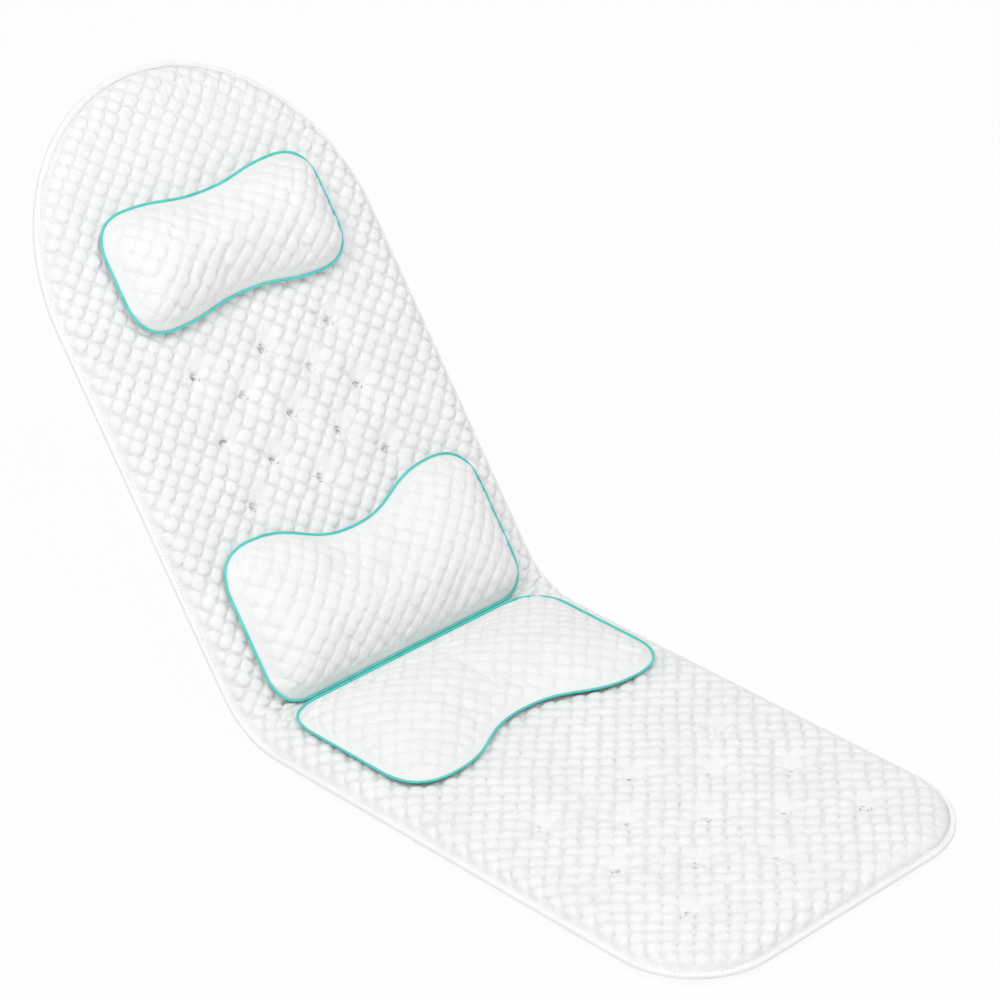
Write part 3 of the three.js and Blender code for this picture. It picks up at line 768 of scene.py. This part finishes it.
def backing_cloth():
    nodes = Nodes(bpy.data.materials.new("backing_cloth"))
    flat = nodes.cloth()
    shade = nodes.shade(scale=35.0, dark=(0.82, 0.82, 0.825), light=grey(0.88))
    holes = mesh_holes(nodes, flat, count=210.0)
    # Painted shade: the mesh's holes take a darker grey, for the shade seen through them.
    shade = nodes.blend(holes, under=shade, over=(0.60, 0.60, 0.61, 1))
    weave = nodes.bump(knit(nodes, flat, across=900.0, along=900.0), strength=0.3, distance=0.0003)
    pores = nodes.bump(nodes.math("SUBTRACT", 1.0, holes), strength=0.6, distance=0.0006, over=weave)
    nodes.set(Base_Color=shade, Roughness=0.8, Normal=pores)
    return nodes.owner


def teal_cloth():
    nodes = Nodes(bpy.data.materials.new("teal_piping"))
    shade = nodes.shade(scale=80.0, dark=(0.06, 0.57, 0.51), light=(0.09, 0.68, 0.61))
    ribs = nodes.bump(nodes.twill(scale=260.0, distortion=0.4), strength=0.35, distance=0.0003)
    nodes.set(Base_Color=shade, Roughness=0.6, Sheen_Weight=0.2, Normal=ribs)
    return nodes.owner


def sewing_thread(name, dark, light):
    nodes = Nodes(bpy.data.materials.new(name))
    shade = nodes.shade(scale=30.0, dark=grey(dark), light=grey(light), stops=(0.38, 0.62))
    nodes.set(Base_Color=shade, Roughness=0.6, Sheen_Weight=0.1)
    return nodes.owner


def clear_vinyl():
    nodes = Nodes(bpy.data.materials.new("clear_vinyl"))
    smear = nodes.shade(scale=90.0, dark=grey(0.10), light=grey(0.18), stops=(0.3, 0.8))
    dimple = nodes.bump(nodes.noise(scale=120.0), strength=0.03, distance=0.0004)
    nodes.set(Base_Color=(0.93, 0.96, 0.97, 1), Transmission_Weight=0.85, IOR=1.48)
    nodes.set(Roughness=smear, Normal=dimple)
    return nodes.owner


QUILT = quilted_cloth()
TAPE = tape_cloth()
BACKING = backing_cloth()
TEAL = teal_cloth()
THREAD = sewing_thread("white_thread", dark=0.75, light=0.85)
# Thread of the back's tufts: its dark grey is partly the thread and partly painted shadow of the deep pits
GREY_THREAD_AND_PIT_SHADE = sewing_thread("grey_thread_and_pit_shade", dark=0.05, light=0.5)
PALE = sewing_thread("pale_thread", dark=0.3, light=0.7)
VINYL = clear_vinyl()


# Mat

def mat_stations(inset, step):
    """Places along the mat where its cross rows lie, closer together round its ends."""
    corner = FOOT_CORNER - inset
    head = HEAD_ROUND - inset
    foot_turn = np.linspace(0, math.pi / 2, int(corner * FOOT_ARC / step), endpoint=False)
    head_turn = np.linspace(0, HEAD_TURN, int(head * HEAD_ARC / step))
    straight = np.arange(-FOOT_START, HEAD_START, step)
    foot = -FOOT_START - corner * np.cos(foot_turn)
    return np.concatenate([foot, straight, HEAD_START + head * np.sin(head_turn)])


def mat_grid(inset, step, columns):
    """Cross rows of points over the mat's flat pattern."""
    stations = mat_stations(inset, step)
    x = half_width(stations, inset)[:, None] * np.linspace(-1, 1, columns)[None, :]
    return x, np.broadcast_to(stations[:, None], x.shape)


def under_pillows(x, s):
    """How far under a pillow each point of the mat lies, from 0 to 1."""
    cover = np.zeros_like(x)
    for pillow in PILLOWS:
        half, edges = pillow["shape"]
        v = s if pillow["body"] == "back" else -s
        low, high = edges(x)
        inside = np.minimum(np.minimum(v - low, high - v), half - np.abs(x))
        cover = np.maximum(cover, eased(inside / BASE_DRAW))
    return cover


def gathers(x, s, inside):
    """Small folds of the cover: along the binding, in a fan at the fold's ends, and crumples beside it."""
    along = along_edge(x, s) + drift(x, s, GATHER_WANDER) + inside * drift(s, x, GATHER_LEAN)
    fade = np.exp(-np.maximum(inside - RIM_WIDTH, 0) / GATHER_REACH)
    short = (GATHER + drift(x, s, GATHER_VARIETY)) * fade * np.sin(2 * math.pi * along / GATHER_STEP)
    spread = 1 + FOLD_GATHER_SPREAD * (HALF_WIDTH - np.abs(x)) / HALF_WIDTH
    fan = np.sin(2 * math.pi * s * spread / FOLD_GATHER_STEP + drift(x, s, FOLD_GATHER_WANDER))
    fan = FOLD_GATHER * fan * np.exp(-(s / FOLD_GATHER_REACH) ** 2)
    close = eased(1 - inside / CRUMPLE_WIDTH) * np.exp(-(s / CRUMPLE_REACH) ** 2)
    return short + fan + drift(x, s, CRUMPLE) * close


def puff_fullness(x, s, inside):
    """How full the mat's puffs stand: more on the leg half, less at the head and the leg's right edge."""
    full = 1 + PUFF_EDGE_FULL * (1 - rises(inside, PUFF_EDGE_FADE))
    full = full * rises(inside, PUFF_RIM_FADE)
    full = full * (1 - PUFF_HEAD_CALM * rises(s, HEAD_CALM_FADE))
    full = full * (1 + PUFF_LEG_FULL * rises(-s, LEG_FULL_FADE) * rises(inside, LEG_FULL_INSIDE))
    right = rises(x, RIGHT_CALM_ACROSS) * rises(-s, RIGHT_CALM_ALONG)
    return full * (1 - PUFF_RIGHT_CALM * right * (1 - rises(inside, RIGHT_CALM_INSIDE)))


def mat_surface(x, s):
    """The quilted top of the mat: points moved out along the cloth's own slope, and how far they swell,
    which sets the painted shade of the grooves.
    """
    inside = edge_distance(x, s)
    up = np.clip((inside - RIM_WIDTH) / SHOULDER, 0, 1)
    base = RIM_HEIGHT + (MAT_HEIGHT - RIM_HEIGHT) * np.sqrt(1 - (1 - up) ** 2)
    depth, calm, drag_x, drag_s = tufted(x, s)
    bare = 1 - under_pillows(x, s)
    base = base - depth * up + (drift(x, s, SWAY) + gathers(x, s, inside)) * up * bare
    across, along = swirled(x, s, PUFF_SWIRLS)
    puff = puffs(across + drag_x, along + drag_s)
    full = calm * bare * puff_fullness(x, s, inside)
    out = full * (PUFF_HEIGHT * puff - PUFF_SINK) - PRESSED_IN * (1 - bare)
    slope_s = np.clip(np.gradient(base, axis=0) / np.gradient(s, axis=0), -STEEPEST, STEEPEST)
    slope_x = np.clip(np.gradient(base, axis=1) / (np.gradient(x, axis=1) + TINY), -STEEPEST, STEEPEST)
    steep = np.sqrt(1 + slope_x ** 2 + slope_s ** 2)
    moved = on_mat(x - out * slope_x / steep, s - out * slope_s / steep, base + out / steep)
    return moved, 1 - np.minimum(full, 1) * (1 - eased(puff / PUFF_GROOVE_SHADE_HEIGHT))


def pad_faces(rows, columns, below):
    """Faces of the pad: its top, its underside, a wall along each side and one face at each end."""
    first = rows * columns
    row = np.arange(rows)
    left = np.stack([row * columns, first + row * below])
    right = left + np.array([[columns - 1], [below - 1]])
    walls = [np.stack([e[0][:-1], e[0][1:], e[1][1:], e[1][:-1]], -1) for e in (left, right)]
    over, under = np.arange(columns), first + np.arange(below)
    foot = np.concatenate([over[::-1], under])
    head = np.concatenate([over + (rows - 1) * columns, under[::-1] + (rows - 1) * below])
    return [grid_faces(rows, columns), grid_faces(rows, below, first)[:, ::-1],
            walls[0], walls[1][:, ::-1], foot[None, :], head[None, :]]


def make_pad():
    """The padded mat: quilted top, plain underside, closed at its edge under the binding."""
    x, s = mat_grid(PAD_INSET, PAD_STEP, int(2 * HALF_WIDTH / PAD_STEP) | 1)
    low_x, low_s = mat_grid(PAD_INSET, PAD_STEP, PAD_BOTTOM_COLUMNS)
    top, swell = mat_surface(x, s)
    bottom = on_mat(low_x, low_s, PAD_BOTTOM)
    points = np.concatenate([top.reshape(-1, 3), bottom.reshape(-1, 3)])
    swell = np.concatenate([swell.ravel(), np.ones(low_x.size)])
    faces = pad_faces(*x.shape, PAD_BOTTOM_COLUMNS)
    pad = build("mat_pad", points, faces, QUILT, flat_places((x, s), (low_x, low_s)), swell)
    across_fold(pad)
    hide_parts("leg_cover", "leg_padding", "fold_cover", "fold_padding", "back_cover", "back_padding")


def make_backing():
    """The plain sheet under the mat."""
    x, s = mat_grid(BACKING_INSET, BACKING_STEP, BACKING_COLUMNS)
    rows, columns = x.shape
    sag = drift(x, s, BACKING_SAG)
    points = np.concatenate([on_mat(x, s, sag + h).reshape(-1, 3) for h in (0, BACKING_THICK)])
    rim = rim_of(rows, columns)
    after = np.roll(rim, -1)
    wall = np.stack([rim, after, after + x.size, rim + x.size], -1)
    faces = [grid_faces(rows, columns)[:, ::-1], grid_faces(rows, columns, x.size), wall]
    sheet = build("mat_backing", points, faces, BACKING, flat_places((x, s), (x, s)))
    across_fold(sheet)
    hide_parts("leg_backing", "fold_backing", "back_backing")


def mat_edge(step):
    """The mat's edge as an evened line."""
    stations = mat_stations(0, step)
    right = np.stack([half_width(stations, 0), stations], -1)
    left = right[::-1] * (-1, 1)
    box = 2 * (LEG_LENGTH + BACK_LENGTH + 2 * HALF_WIDTH)
    return evened(np.concatenate([right, left]), int(box / step * EDGE_SHARE))


def tape_section():
    """Section of the folded tape, as inset from the edge and height: round its outside and back inside."""
    turn = np.linspace(math.pi / 2, 3 * math.pi / 2, TAPE_NOSE_POINTS)
    middle = (TAPE_TOP + TAPE_BOTTOM) / 2

    def squared(share):
        return np.sign(share) * np.abs(share) ** TAPE_NOSE_ROUND

    def nose(thinner):
        wide = TAPE_NOSE - thinner
        tall = (TAPE_TOP - TAPE_BOTTOM) / 2 - thinner
        inset = TAPE_NOSE + wide * squared(np.cos(turn))
        return np.stack([inset, middle + tall * squared(np.sin(turn))], -1)

    flap = np.linspace(TAPE_WIDTH, TAPE_FLAP_START, TAPE_FLAP_POINTS)
    upper = np.stack([flap, np.full_like(flap, TAPE_TOP)], -1)
    lower = np.stack([flap[::-1], np.full_like(flap, TAPE_BOTTOM)], -1)
    inner_low = [(TAPE_WIDTH, TAPE_BOTTOM + TAPE_THICK)]
    inner_top = [(TAPE_WIDTH, TAPE_TOP - TAPE_THICK)]
    return np.concatenate([upper, nose(0), lower, inner_low, nose(TAPE_THICK)[::-1], inner_top])


def make_binding():
    """The tape folded over the mat's whole edge."""
    edge, inward, at = mat_edge(TAPE_STEP)
    section = tape_section()
    inset, height = section.T
    upper = np.where(height > TAPE_UPPER, 1, 0)
    flap = rises(inset, TAPE_FLAP_FADE) * upper
    dimple = -TAPE_DIMPLE * np.exp(-((inset - STITCH_INSET) / TAPE_DIMPLE_WIDTH) ** 2) * upper
    wave = ripple(at, TAPE_WAVE, ripple(at, TAPE_WAVE_SWING))
    wave = wave + ripple(at, TAPE_SMALL_WAVE, TAPE_SMALL_START)
    aside = wave * ripple(at, TAPE_ASIDE)
    lift = TAPE_LIFT * wave + sum(ripple(at, pucker, i) for i, pucker in enumerate(TAPE_PUCKERS))
    inset = inset[None, :] + aside[:, None] * flap
    x, s = beside(edge, inward, inset)
    h = height[None, :] + lift[:, None] * flap + dimple
    points = on_mat(x, s, h).reshape(-1, 3)
    faces = ring_faces(*x.shape)[:, ::-1]
    round_it = np.cumsum(np.r_[0, np.hypot(*np.diff(section, axis=0).T)])
    tape = build("mat_binding", points, [faces], TAPE, flat_places((at[:, None], round_it)))
    across_fold(tape)
    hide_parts("leg_binding", "back_binding", "fold_binding_left", "fold_binding_right")


def threads(line, side, radius):
    """Points and faces of short threads, from each one's own points and its level cross directions."""
    count, steps = line.shape[:2]
    up = np.broadcast_to((0.0, 0.0, 1.0), line.shape)
    share = np.linspace(-THREAD_END, THREAD_END, steps)
    swell = radius * np.sqrt(1 - share ** THREAD_END_ROUND)
    turn = np.linspace(0, 2 * math.pi, THREAD_SIDES, endpoint=False)
    ring = side[..., None, :] * np.cos(turn)[:, None] + up[..., None, :] * np.sin(turn)[:, None]
    points = line[:, :, None, :] + ring * swell[None, :, None, None]
    one = grid_faces(steps, THREAD_SIDES, around=True)
    starts = np.arange(count) * steps * THREAD_SIDES
    sides = (starts[:, None, None] + one[None]).reshape(-1, 4)
    end = np.arange(THREAD_SIDES)[None]
    first = starts[:, None] + end[:, ::-1]
    last = starts[:, None] + (steps - 1) * THREAD_SIDES + end
    return points.reshape(-1, 3), [sides, first, last]


def make_edge_stitches():
    """The row of stitches that holds the tape."""
    edge, inward, at = mat_edge(STITCH_STEP)
    along = np.stack([inward[:, 1], -inward[:, 0]], -1)
    ends = np.linspace(-1, 1, STITCH_POINTS)
    middle = edge + inward * STITCH_INSET
    flat = middle[:, None] + along[:, None] * (ends * STITCH_LENGTH / 2)[None, :, None]
    lift = np.broadcast_to(TAPE_TOP + STITCH_LIFT - STITCH_DIP * ends ** 2, flat.shape[:2])
    line = np.concatenate([flat, lift[..., None]], -1)
    side = np.broadcast_to(np.concatenate([inward, 0 * at[:, None]], -1)[:, None], line.shape)
    local, faces = threads(line, side, THREAD_RADIUS)
    stitches = build("binding_stitches", on_mat(*local.T), faces, THREAD)
    across_fold(stitches)


def tuft_strands(places, sign):
    """Points and level cross directions of the tufts' threads: bent strands, then the stitch below."""
    across, along = places.T[..., None]
    ends = np.linspace(-1, 1, STRAND_POINTS)
    lines, sides = [], []
    for k in range(STRANDS):
        stray = scatter(np.arange(len(places)), k)[:, None]
        radius = STRAND_FIRST + k * STRAND_GAP
        wrap = min(STRAND_WRAP, STRAND_LENGTH / 2 / radius)
        turn = STRAND_TURN * k + STRAND_TURN_STRAY * stray + wrap * ends
        run = STRAND_WIDE * (radius + STRAND_STRAY * stray) * np.cos(turn)
        rise = STRAND_TALL * (radius + STRAND_STRAY * stray) * np.sin(turn)
        x = across + (run + rise) / math.sqrt(2)
        s = along + (rise - run) / math.sqrt(2)
        height = MAT_HEIGHT - tufted(x, s)[0] + drift(x, s, SWAY) + STRAND_LIFT
        lines.append(np.stack([x, s * sign, height], -1))
        step_x, step_v = np.gradient(x, axis=1), np.gradient(s * sign, axis=1)
        sides.append(np.stack([step_v, -step_x, 0 * turn], -1) / np.hypot(step_x, step_v)[..., None])
    x = across + ends * TUFT_STITCH / 2
    s = np.broadcast_to(along, x.shape)
    lines.append(np.stack([x, s * sign, drift(x, s, BACKING_SAG)], -1))
    sides.append(np.broadcast_to((0.0, 1.0, 0.0), lines[-1].shape))
    return np.concatenate(lines), np.concatenate(sides)


def make_tuft_threads(half, body, sign, material):
    """The thread of all tufts on one half."""
    places = np.array([place for place in TUFTS if place[1] * sign > 0])
    local, faces = threads(*tuft_strands(places, sign), STRAND_RADIUS)
    strands = build(half + "_tuft_threads", PLACING[body](*local.T), faces, material)
    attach(strands, body)


# Pillows

def seam_height(pillow, v):
    """Height of a pillow's seam over the mat's underside, a little lower where it meets the fold."""
    _, edges = pillow["shape"]
    near, _ = edges(0.0)
    return PILLOW_FLOOR + pillow["seam"] - pillow["sink"] * (1 - eased((v - near) / PILLOW_SINK_REACH))


def crown(pillow, x, v):
    """Height of a pillow's top over its seam, rounded over from its ends and its sides."""
    half, edges = pillow["shape"]
    low, high = edges(x)
    gaps = (v - low, high - v, half - np.abs(x))
    inside = sum(np.maximum(gap, CROWN_LEAST) ** -CROWN_POWER for gap in gaps) ** (-1 / CROWN_POWER)
    return pillow["rise"] * (1 - np.clip(1 - inside / pillow["reach"], 0, 1) ** 2)


def pillow_top(pillow, step):
    """The smooth top of a pillow as a grid of points in its own flat place."""
    x, v = pillow_grid(pillow["shape"], step)
    return np.stack([x, v, seam_height(pillow, v) + PILLOW_TOP_LIFT + crown(pillow, x, v)], -1)


def drawn_out(coarse, count):
    """Rows of a grid drawn out to count rows along smooth curves."""
    padded = np.concatenate([2 * coarse[:1] - coarse[1:2], coarse, 2 * coarse[-1:] - coarse[-2:-1]])
    at = np.linspace(0, len(coarse) - 1, count)
    i = np.minimum(at.astype(int), len(coarse) - 2)
    t = (at - i)[:, None, None]
    a, b, c, d = (padded[i + k] for k in range(4))
    return b + 0.5 * t * (c - a + t * (2 * a - 5 * b + 4 * c - d + t * (3 * (b - c) + d - a)))


def blown_up(start):
    """How far a sewn panel's points move when the fill presses it out, by a short cloth simulation."""
    rows, columns = start.shape[:2]
    panel = build("panel", start.reshape(-1, 3) * MM, [grid_faces(rows, columns)], QUILT)
    seam = panel.vertex_groups.new(name="seam")
    seam.add([int(i) for i in rim_of(rows, columns)], 1.0, "REPLACE")
    cloth = panel.modifiers.new("cloth", "CLOTH")
    cloth.settings.vertex_group_mass = seam.name
    cloth.settings.mass = CLOTH_MASS
    cloth.settings.shrink_min = -CLOTH_SLACK
    cloth.settings.use_pressure = True
    cloth.settings.uniform_pressure_force = CLOTH_PRESSURE
    cloth.settings.effector_weights.gravity = 0
    cloth.point_cache.frame_end = CLOTH_FRAMES
    for number in range(1, CLOTH_FRAMES + 1):
        bpy.context.scene.frame_set(number)
    settled = panel.evaluated_get(bpy.context.evaluated_depsgraph_get()).data
    places = np.empty(rows * columns * 3, np.float32)
    settled.vertices.foreach_get("co", places)
    bpy.context.scene.frame_set(1)
    bpy.data.objects.remove(panel)
    move = places.reshape(start.shape) / MM - start
    long = np.linalg.norm(move, axis=-1, keepdims=True)
    return move * np.minimum(1, CLOTH_MOVE / (long + TINY))


def swelled(pillow, top, inside):
    rows, columns = top.shape[:2]
    move = drawn_out(blown_up(pillow_top(pillow, CLOTH_STEP)), rows)
    move = drawn_out(move.swapaxes(0, 1), columns).swapaxes(0, 1)
    return top + move * eased(inside / CLOTH_SEAM_REACH)[..., None]


def outward(top):
    """Directions square to a grid of points."""
    square = np.cross(np.gradient(top, axis=1), np.gradient(top, axis=0))
    return square / np.linalg.norm(square, axis=-1, keepdims=True)


def pillow_relief(pillow, x, v, inside, place):
    """How far puffs and seam puckers stand out of a pillow's top, and how far the cloth swells, which sets
    the painted shade of its grooves.
    """
    puff = puffs(*swirled(x, v, PILLOW_SWIRLS), pillow["chain"])
    full = rises(inside, PILLOW_PUFF_FADE)
    pucker = (PUCKER + ripple(place, PUCKER_VARIETY)) * np.exp(-inside / PUCKER_REACH)
    pucker = pucker * eased(inside / PUCKER_START) * ripple(place, PUCKER_WAVE, ripple(place, PUCKER_SWING))
    swell = 1 - PILLOW_GROOVE_SHADE * full * (1 - eased(puff / PUFF_GROOVE_SHADE_HEIGHT))
    return PILLOW_PUFF * puff * full + pucker, swell


def carried(piece, pillow):
    """Lets a piece of the head pillow move with its half of the mat, and bakes the placing of the other
    pillows' pieces.
    """
    if pillow is HEAD:
        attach(piece, pillow["body"])
    else:
        across_fold(piece)


def make_pillow(pillow):
    """A stuffed pillow: quilted top, base drawn in to the mat."""
    loop, inward, at = seam_line(pillow["shape"])
    top = pillow_top(pillow, PILLOW_STEP)
    rows, columns = top.shape[:2]
    x, v = top[..., 0], top[..., 1]
    inside, place = seam_distance(loop, at, x, v)
    out, swell = pillow_relief(pillow, x, v, inside, place)
    soft = swelled(pillow, top, inside)
    soft = soft + out[..., None] * outward(soft)
    rim = rim_of(rows, columns)
    rim_xv = top.reshape(-1, 3)[rim, :2]
    nearest = ((rim_xv[:, None] - loop[None]) ** 2).sum(-1).argmin(1)
    tall = seam_height(pillow, rim_xv[:, 1]) - PILLOW_FLOOR
    rings = []
    for inset, share in BASE_SIDE:
        ring = rim_xv + inward[nearest] * inset * BASE_DRAW
        rings.append(np.column_stack([ring, PILLOW_FLOOR + share * tall]))
    local = np.concatenate([soft.reshape(-1, 3), *rings])
    below = np.concatenate([rim, np.arange(x.size, len(local))])
    base = below[grid_faces(len(rings) + 1, len(rim), around=True)[:, [0, 3, 2, 1]]]
    floor = below[None, :-len(rim) - 1:-1]
    faces = [grid_faces(rows, columns), base, floor]
    if pillow["body"] == "seat":
        faces = [f[:, ::-1] for f in faces]
    flat = flat_places((x, v), *[(ring[:, 0], ring[:, 1]) for ring in rings])
    swell = np.concatenate([swell.ravel(), np.ones(len(local) - x.size)])
    piece = build(pillow["name"], PLACING[pillow["body"]](*local.T), faces, QUILT, flat, swell)
    carried(piece, pillow)
    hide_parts(*[pillow["name"] + part for part in ("_top", "_base", "_fill")])


def make_piping(pillow):
    """The teal cord in a pillow's seam."""
    loop, inward, at = seam_line(pillow["shape"])
    turn = np.linspace(0, 2 * math.pi, PIPING_SIDES, endpoint=False)
    inset = PIPING_RADIUS * np.cos(turn) - PIPING_PROUD
    x, v = beside(loop, inward, inset)
    h = seam_height(pillow, loop[:, 1])[:, None] + PIPING_LIFT + PIPING_RADIUS * np.sin(turn)
    points = PLACING[pillow["body"]](x, v, h).reshape(-1, 3)
    faces = ring_faces(*x.shape)
    if pillow["body"] == "back":
        faces = faces[:, ::-1]
    flat = flat_places((at[:, None], PIPING_RADIUS * turn))
    piece = build(pillow["name"] + "_cord", points, [faces], TEAL, flat)
    carried(piece, pillow)
    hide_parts(pillow["name"] + "_piping")


# Suction cups

def cup_profile():
    """Radius and height of a cup from the middle of its hollow, round its lip and collar, to its knob."""
    lip = -CUP_STAND
    hollow = [(r, lip + CUP_HOLLOW * (1 - (r / CUP_HOLLOW_RADIUS) ** CUP_HOLLOW_CURVE))
              for r in (0.01, 4, 8, 12, 15, 17)]
    rim = [(18.2, lip + 0.05), (19.2, lip), (19.9, lip + 0.3), (20, lip + 0.8)]
    dome = [(18.5, lip + 1.7), (15.5, lip + 3.1), (12.5, lip + 4.4)]
    collar = [(10, lip + 5.6), (8.6, lip + 7), (8, -0.9)]
    neck = [(7.6, -0.4), (4.1, -0.3), (4, 1.2), (4.1, 1.5)]
    knob = [(6.6, 1.6), (7, 2.1), (6.9, 3), (5.5, 4.0), (3, 4.8), (0.01, 5.1)]
    return np.array(hollow + rim + dome + collar + neck + knob)


def nearest_cup(half, place):
    """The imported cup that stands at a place."""
    names = [f"{half}_suction_cup_{i + 1}" for i in range(CUPS_A_HALF)]
    middles = [sum((Vector(c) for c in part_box(n)), Vector()) / 2 for n in names]
    return min(zip(names, middles), key=lambda pair: (pair[1] - Vector(place)).length)[0]


def make_cups(half, body, cup_rows, across):
    """The cups buttoned through the backing of one half."""
    put = PLACING[body]
    radius, height = cup_profile().T[:, :, None]
    turn = np.linspace(0, 2 * math.pi, CUP_SIDES, endpoint=False)
    ring_x, ring_v = radius * np.cos(turn), radius * np.sin(turn)
    ring_h = np.broadcast_to(height, ring_x.shape)
    rows, columns = ring_x.shape
    end = np.arange(columns)[None]
    faces = [grid_faces(rows, columns, around=True), end[:, ::-1], (rows - 1) * columns + end]
    if body == "seat":
        faces = [f[:, ::-1] for f in faces]
    for v in cup_rows:
        for x in (-across, across):
            node = nearest_cup(half, put(np.array(x), np.array(v), np.array(0.0)))
            cup = build(node + "_clear", put(ring_x + x, ring_v + v, ring_h).reshape(-1, 3), faces, VINYL)
            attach(cup, body)
            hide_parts(node)


# Stage

def aim(thing, target, azimuth, elevation, distance):
    """Puts a camera or a lamp into the scene at a distance from its target, looking at it."""
    turn, rise = math.radians(azimuth), math.radians(elevation)
    back = Vector((math.sin(turn) * math.cos(rise), -math.cos(turn) * math.cos(rise), math.sin(rise)))
    thing.location = target + back * distance
    thing.rotation_euler = (-back).to_track_quat("-Z", "Y").to_euler()
    bpy.context.scene.collection.objects.link(thing)


def make_camera():
    data = bpy.data.cameras.new("camera")
    data.lens = CAMERA_LENS
    camera = bpy.data.objects.new("camera", data)
    aim(camera, CAMERA_TARGET, CAMERA_AZIMUTH, CAMERA_ELEVATION, CAMERA_DISTANCE)
    bpy.context.scene.camera = camera


def make_lamp(name, azimuth, elevation, size, power):
    data = bpy.data.lights.new(name, "AREA")
    data.shape = "DISK"
    data.size = size
    data.energy = power
    aim(bpy.data.objects.new(name, data), LAMP_TARGET, azimuth, elevation, LAMP_DISTANCE)


def make_world(ambient):
    nodes = Nodes(bpy.data.worlds.new("studio"))
    links = {"Value": nodes.seen_rays(), "To Min": ambient, "To Max": 1.0}
    strength = nodes.add("ShaderNodeMapRange", links).outputs["Result"]
    background = nodes.tree.nodes["Background"]
    nodes.feed(background, "Color", (1, 1, 1, 1))
    nodes.feed(background, "Strength", strength)
    bpy.context.scene.world = nodes.owner


def pale_floor():
    """A matte floor that rays from the camera see almost white, with the object's shadow on it."""
    nodes = Nodes(bpy.data.materials.new("pale_floor"))
    nodes.tree.nodes.remove(nodes.tree.nodes["Principled BSDF"])
    matte = nodes.add("ShaderNodeBsdfDiffuse", {"Color": (*grey(FLOOR_GREY), 1)}).outputs["BSDF"]
    glow = nodes.add("ShaderNodeEmission").outputs["Emission"]
    links = {"Value": nodes.seen_rays(), "To Max": FLOOR_GLOW}
    share = nodes.add("ShaderNodeMapRange", links).outputs["Result"]
    mix = nodes.add("ShaderNodeMixShader", {"Fac": share, 1: matte, 2: glow}).outputs["Shader"]
    nodes.feed(nodes.tree.nodes["Material Output"], "Surface", mix)
    return nodes.owner


def make_floor():
    bpy.ops.mesh.primitive_plane_add(size=FLOOR_SIZE)
    floor = bpy.context.object
    floor.name = "floor"
    floor.data.materials.append(pale_floor())


make_camera()
make_world(ambient=0.582)
make_lamp("left", azimuth=-75, elevation=50, size=1.0, power=25.5)
make_lamp("front", azimuth=-8, elevation=60, size=1.6, power=26)
make_floor()
bpy.context.scene.view_settings.view_transform = "Standard"

make_pad()
make_backing()
make_binding()
make_edge_stitches()
make_tuft_threads("leg", "seat", -1, PALE)
# The back's tuft threads are dark grey: thread, and painted shadow of the tufts' deep pits
make_tuft_threads("back", "back", 1, GREY_THREAD_AND_PIT_SHADE)
for each in PILLOWS:
    make_pillow(each)
    make_piping(each)
make_cups("leg", "seat", LEG_CUP_ROWS, LEG_CUP_ACROSS)
make_cups("back", "back", BACK_CUP_ROWS, BACK_CUP_ACROSS)
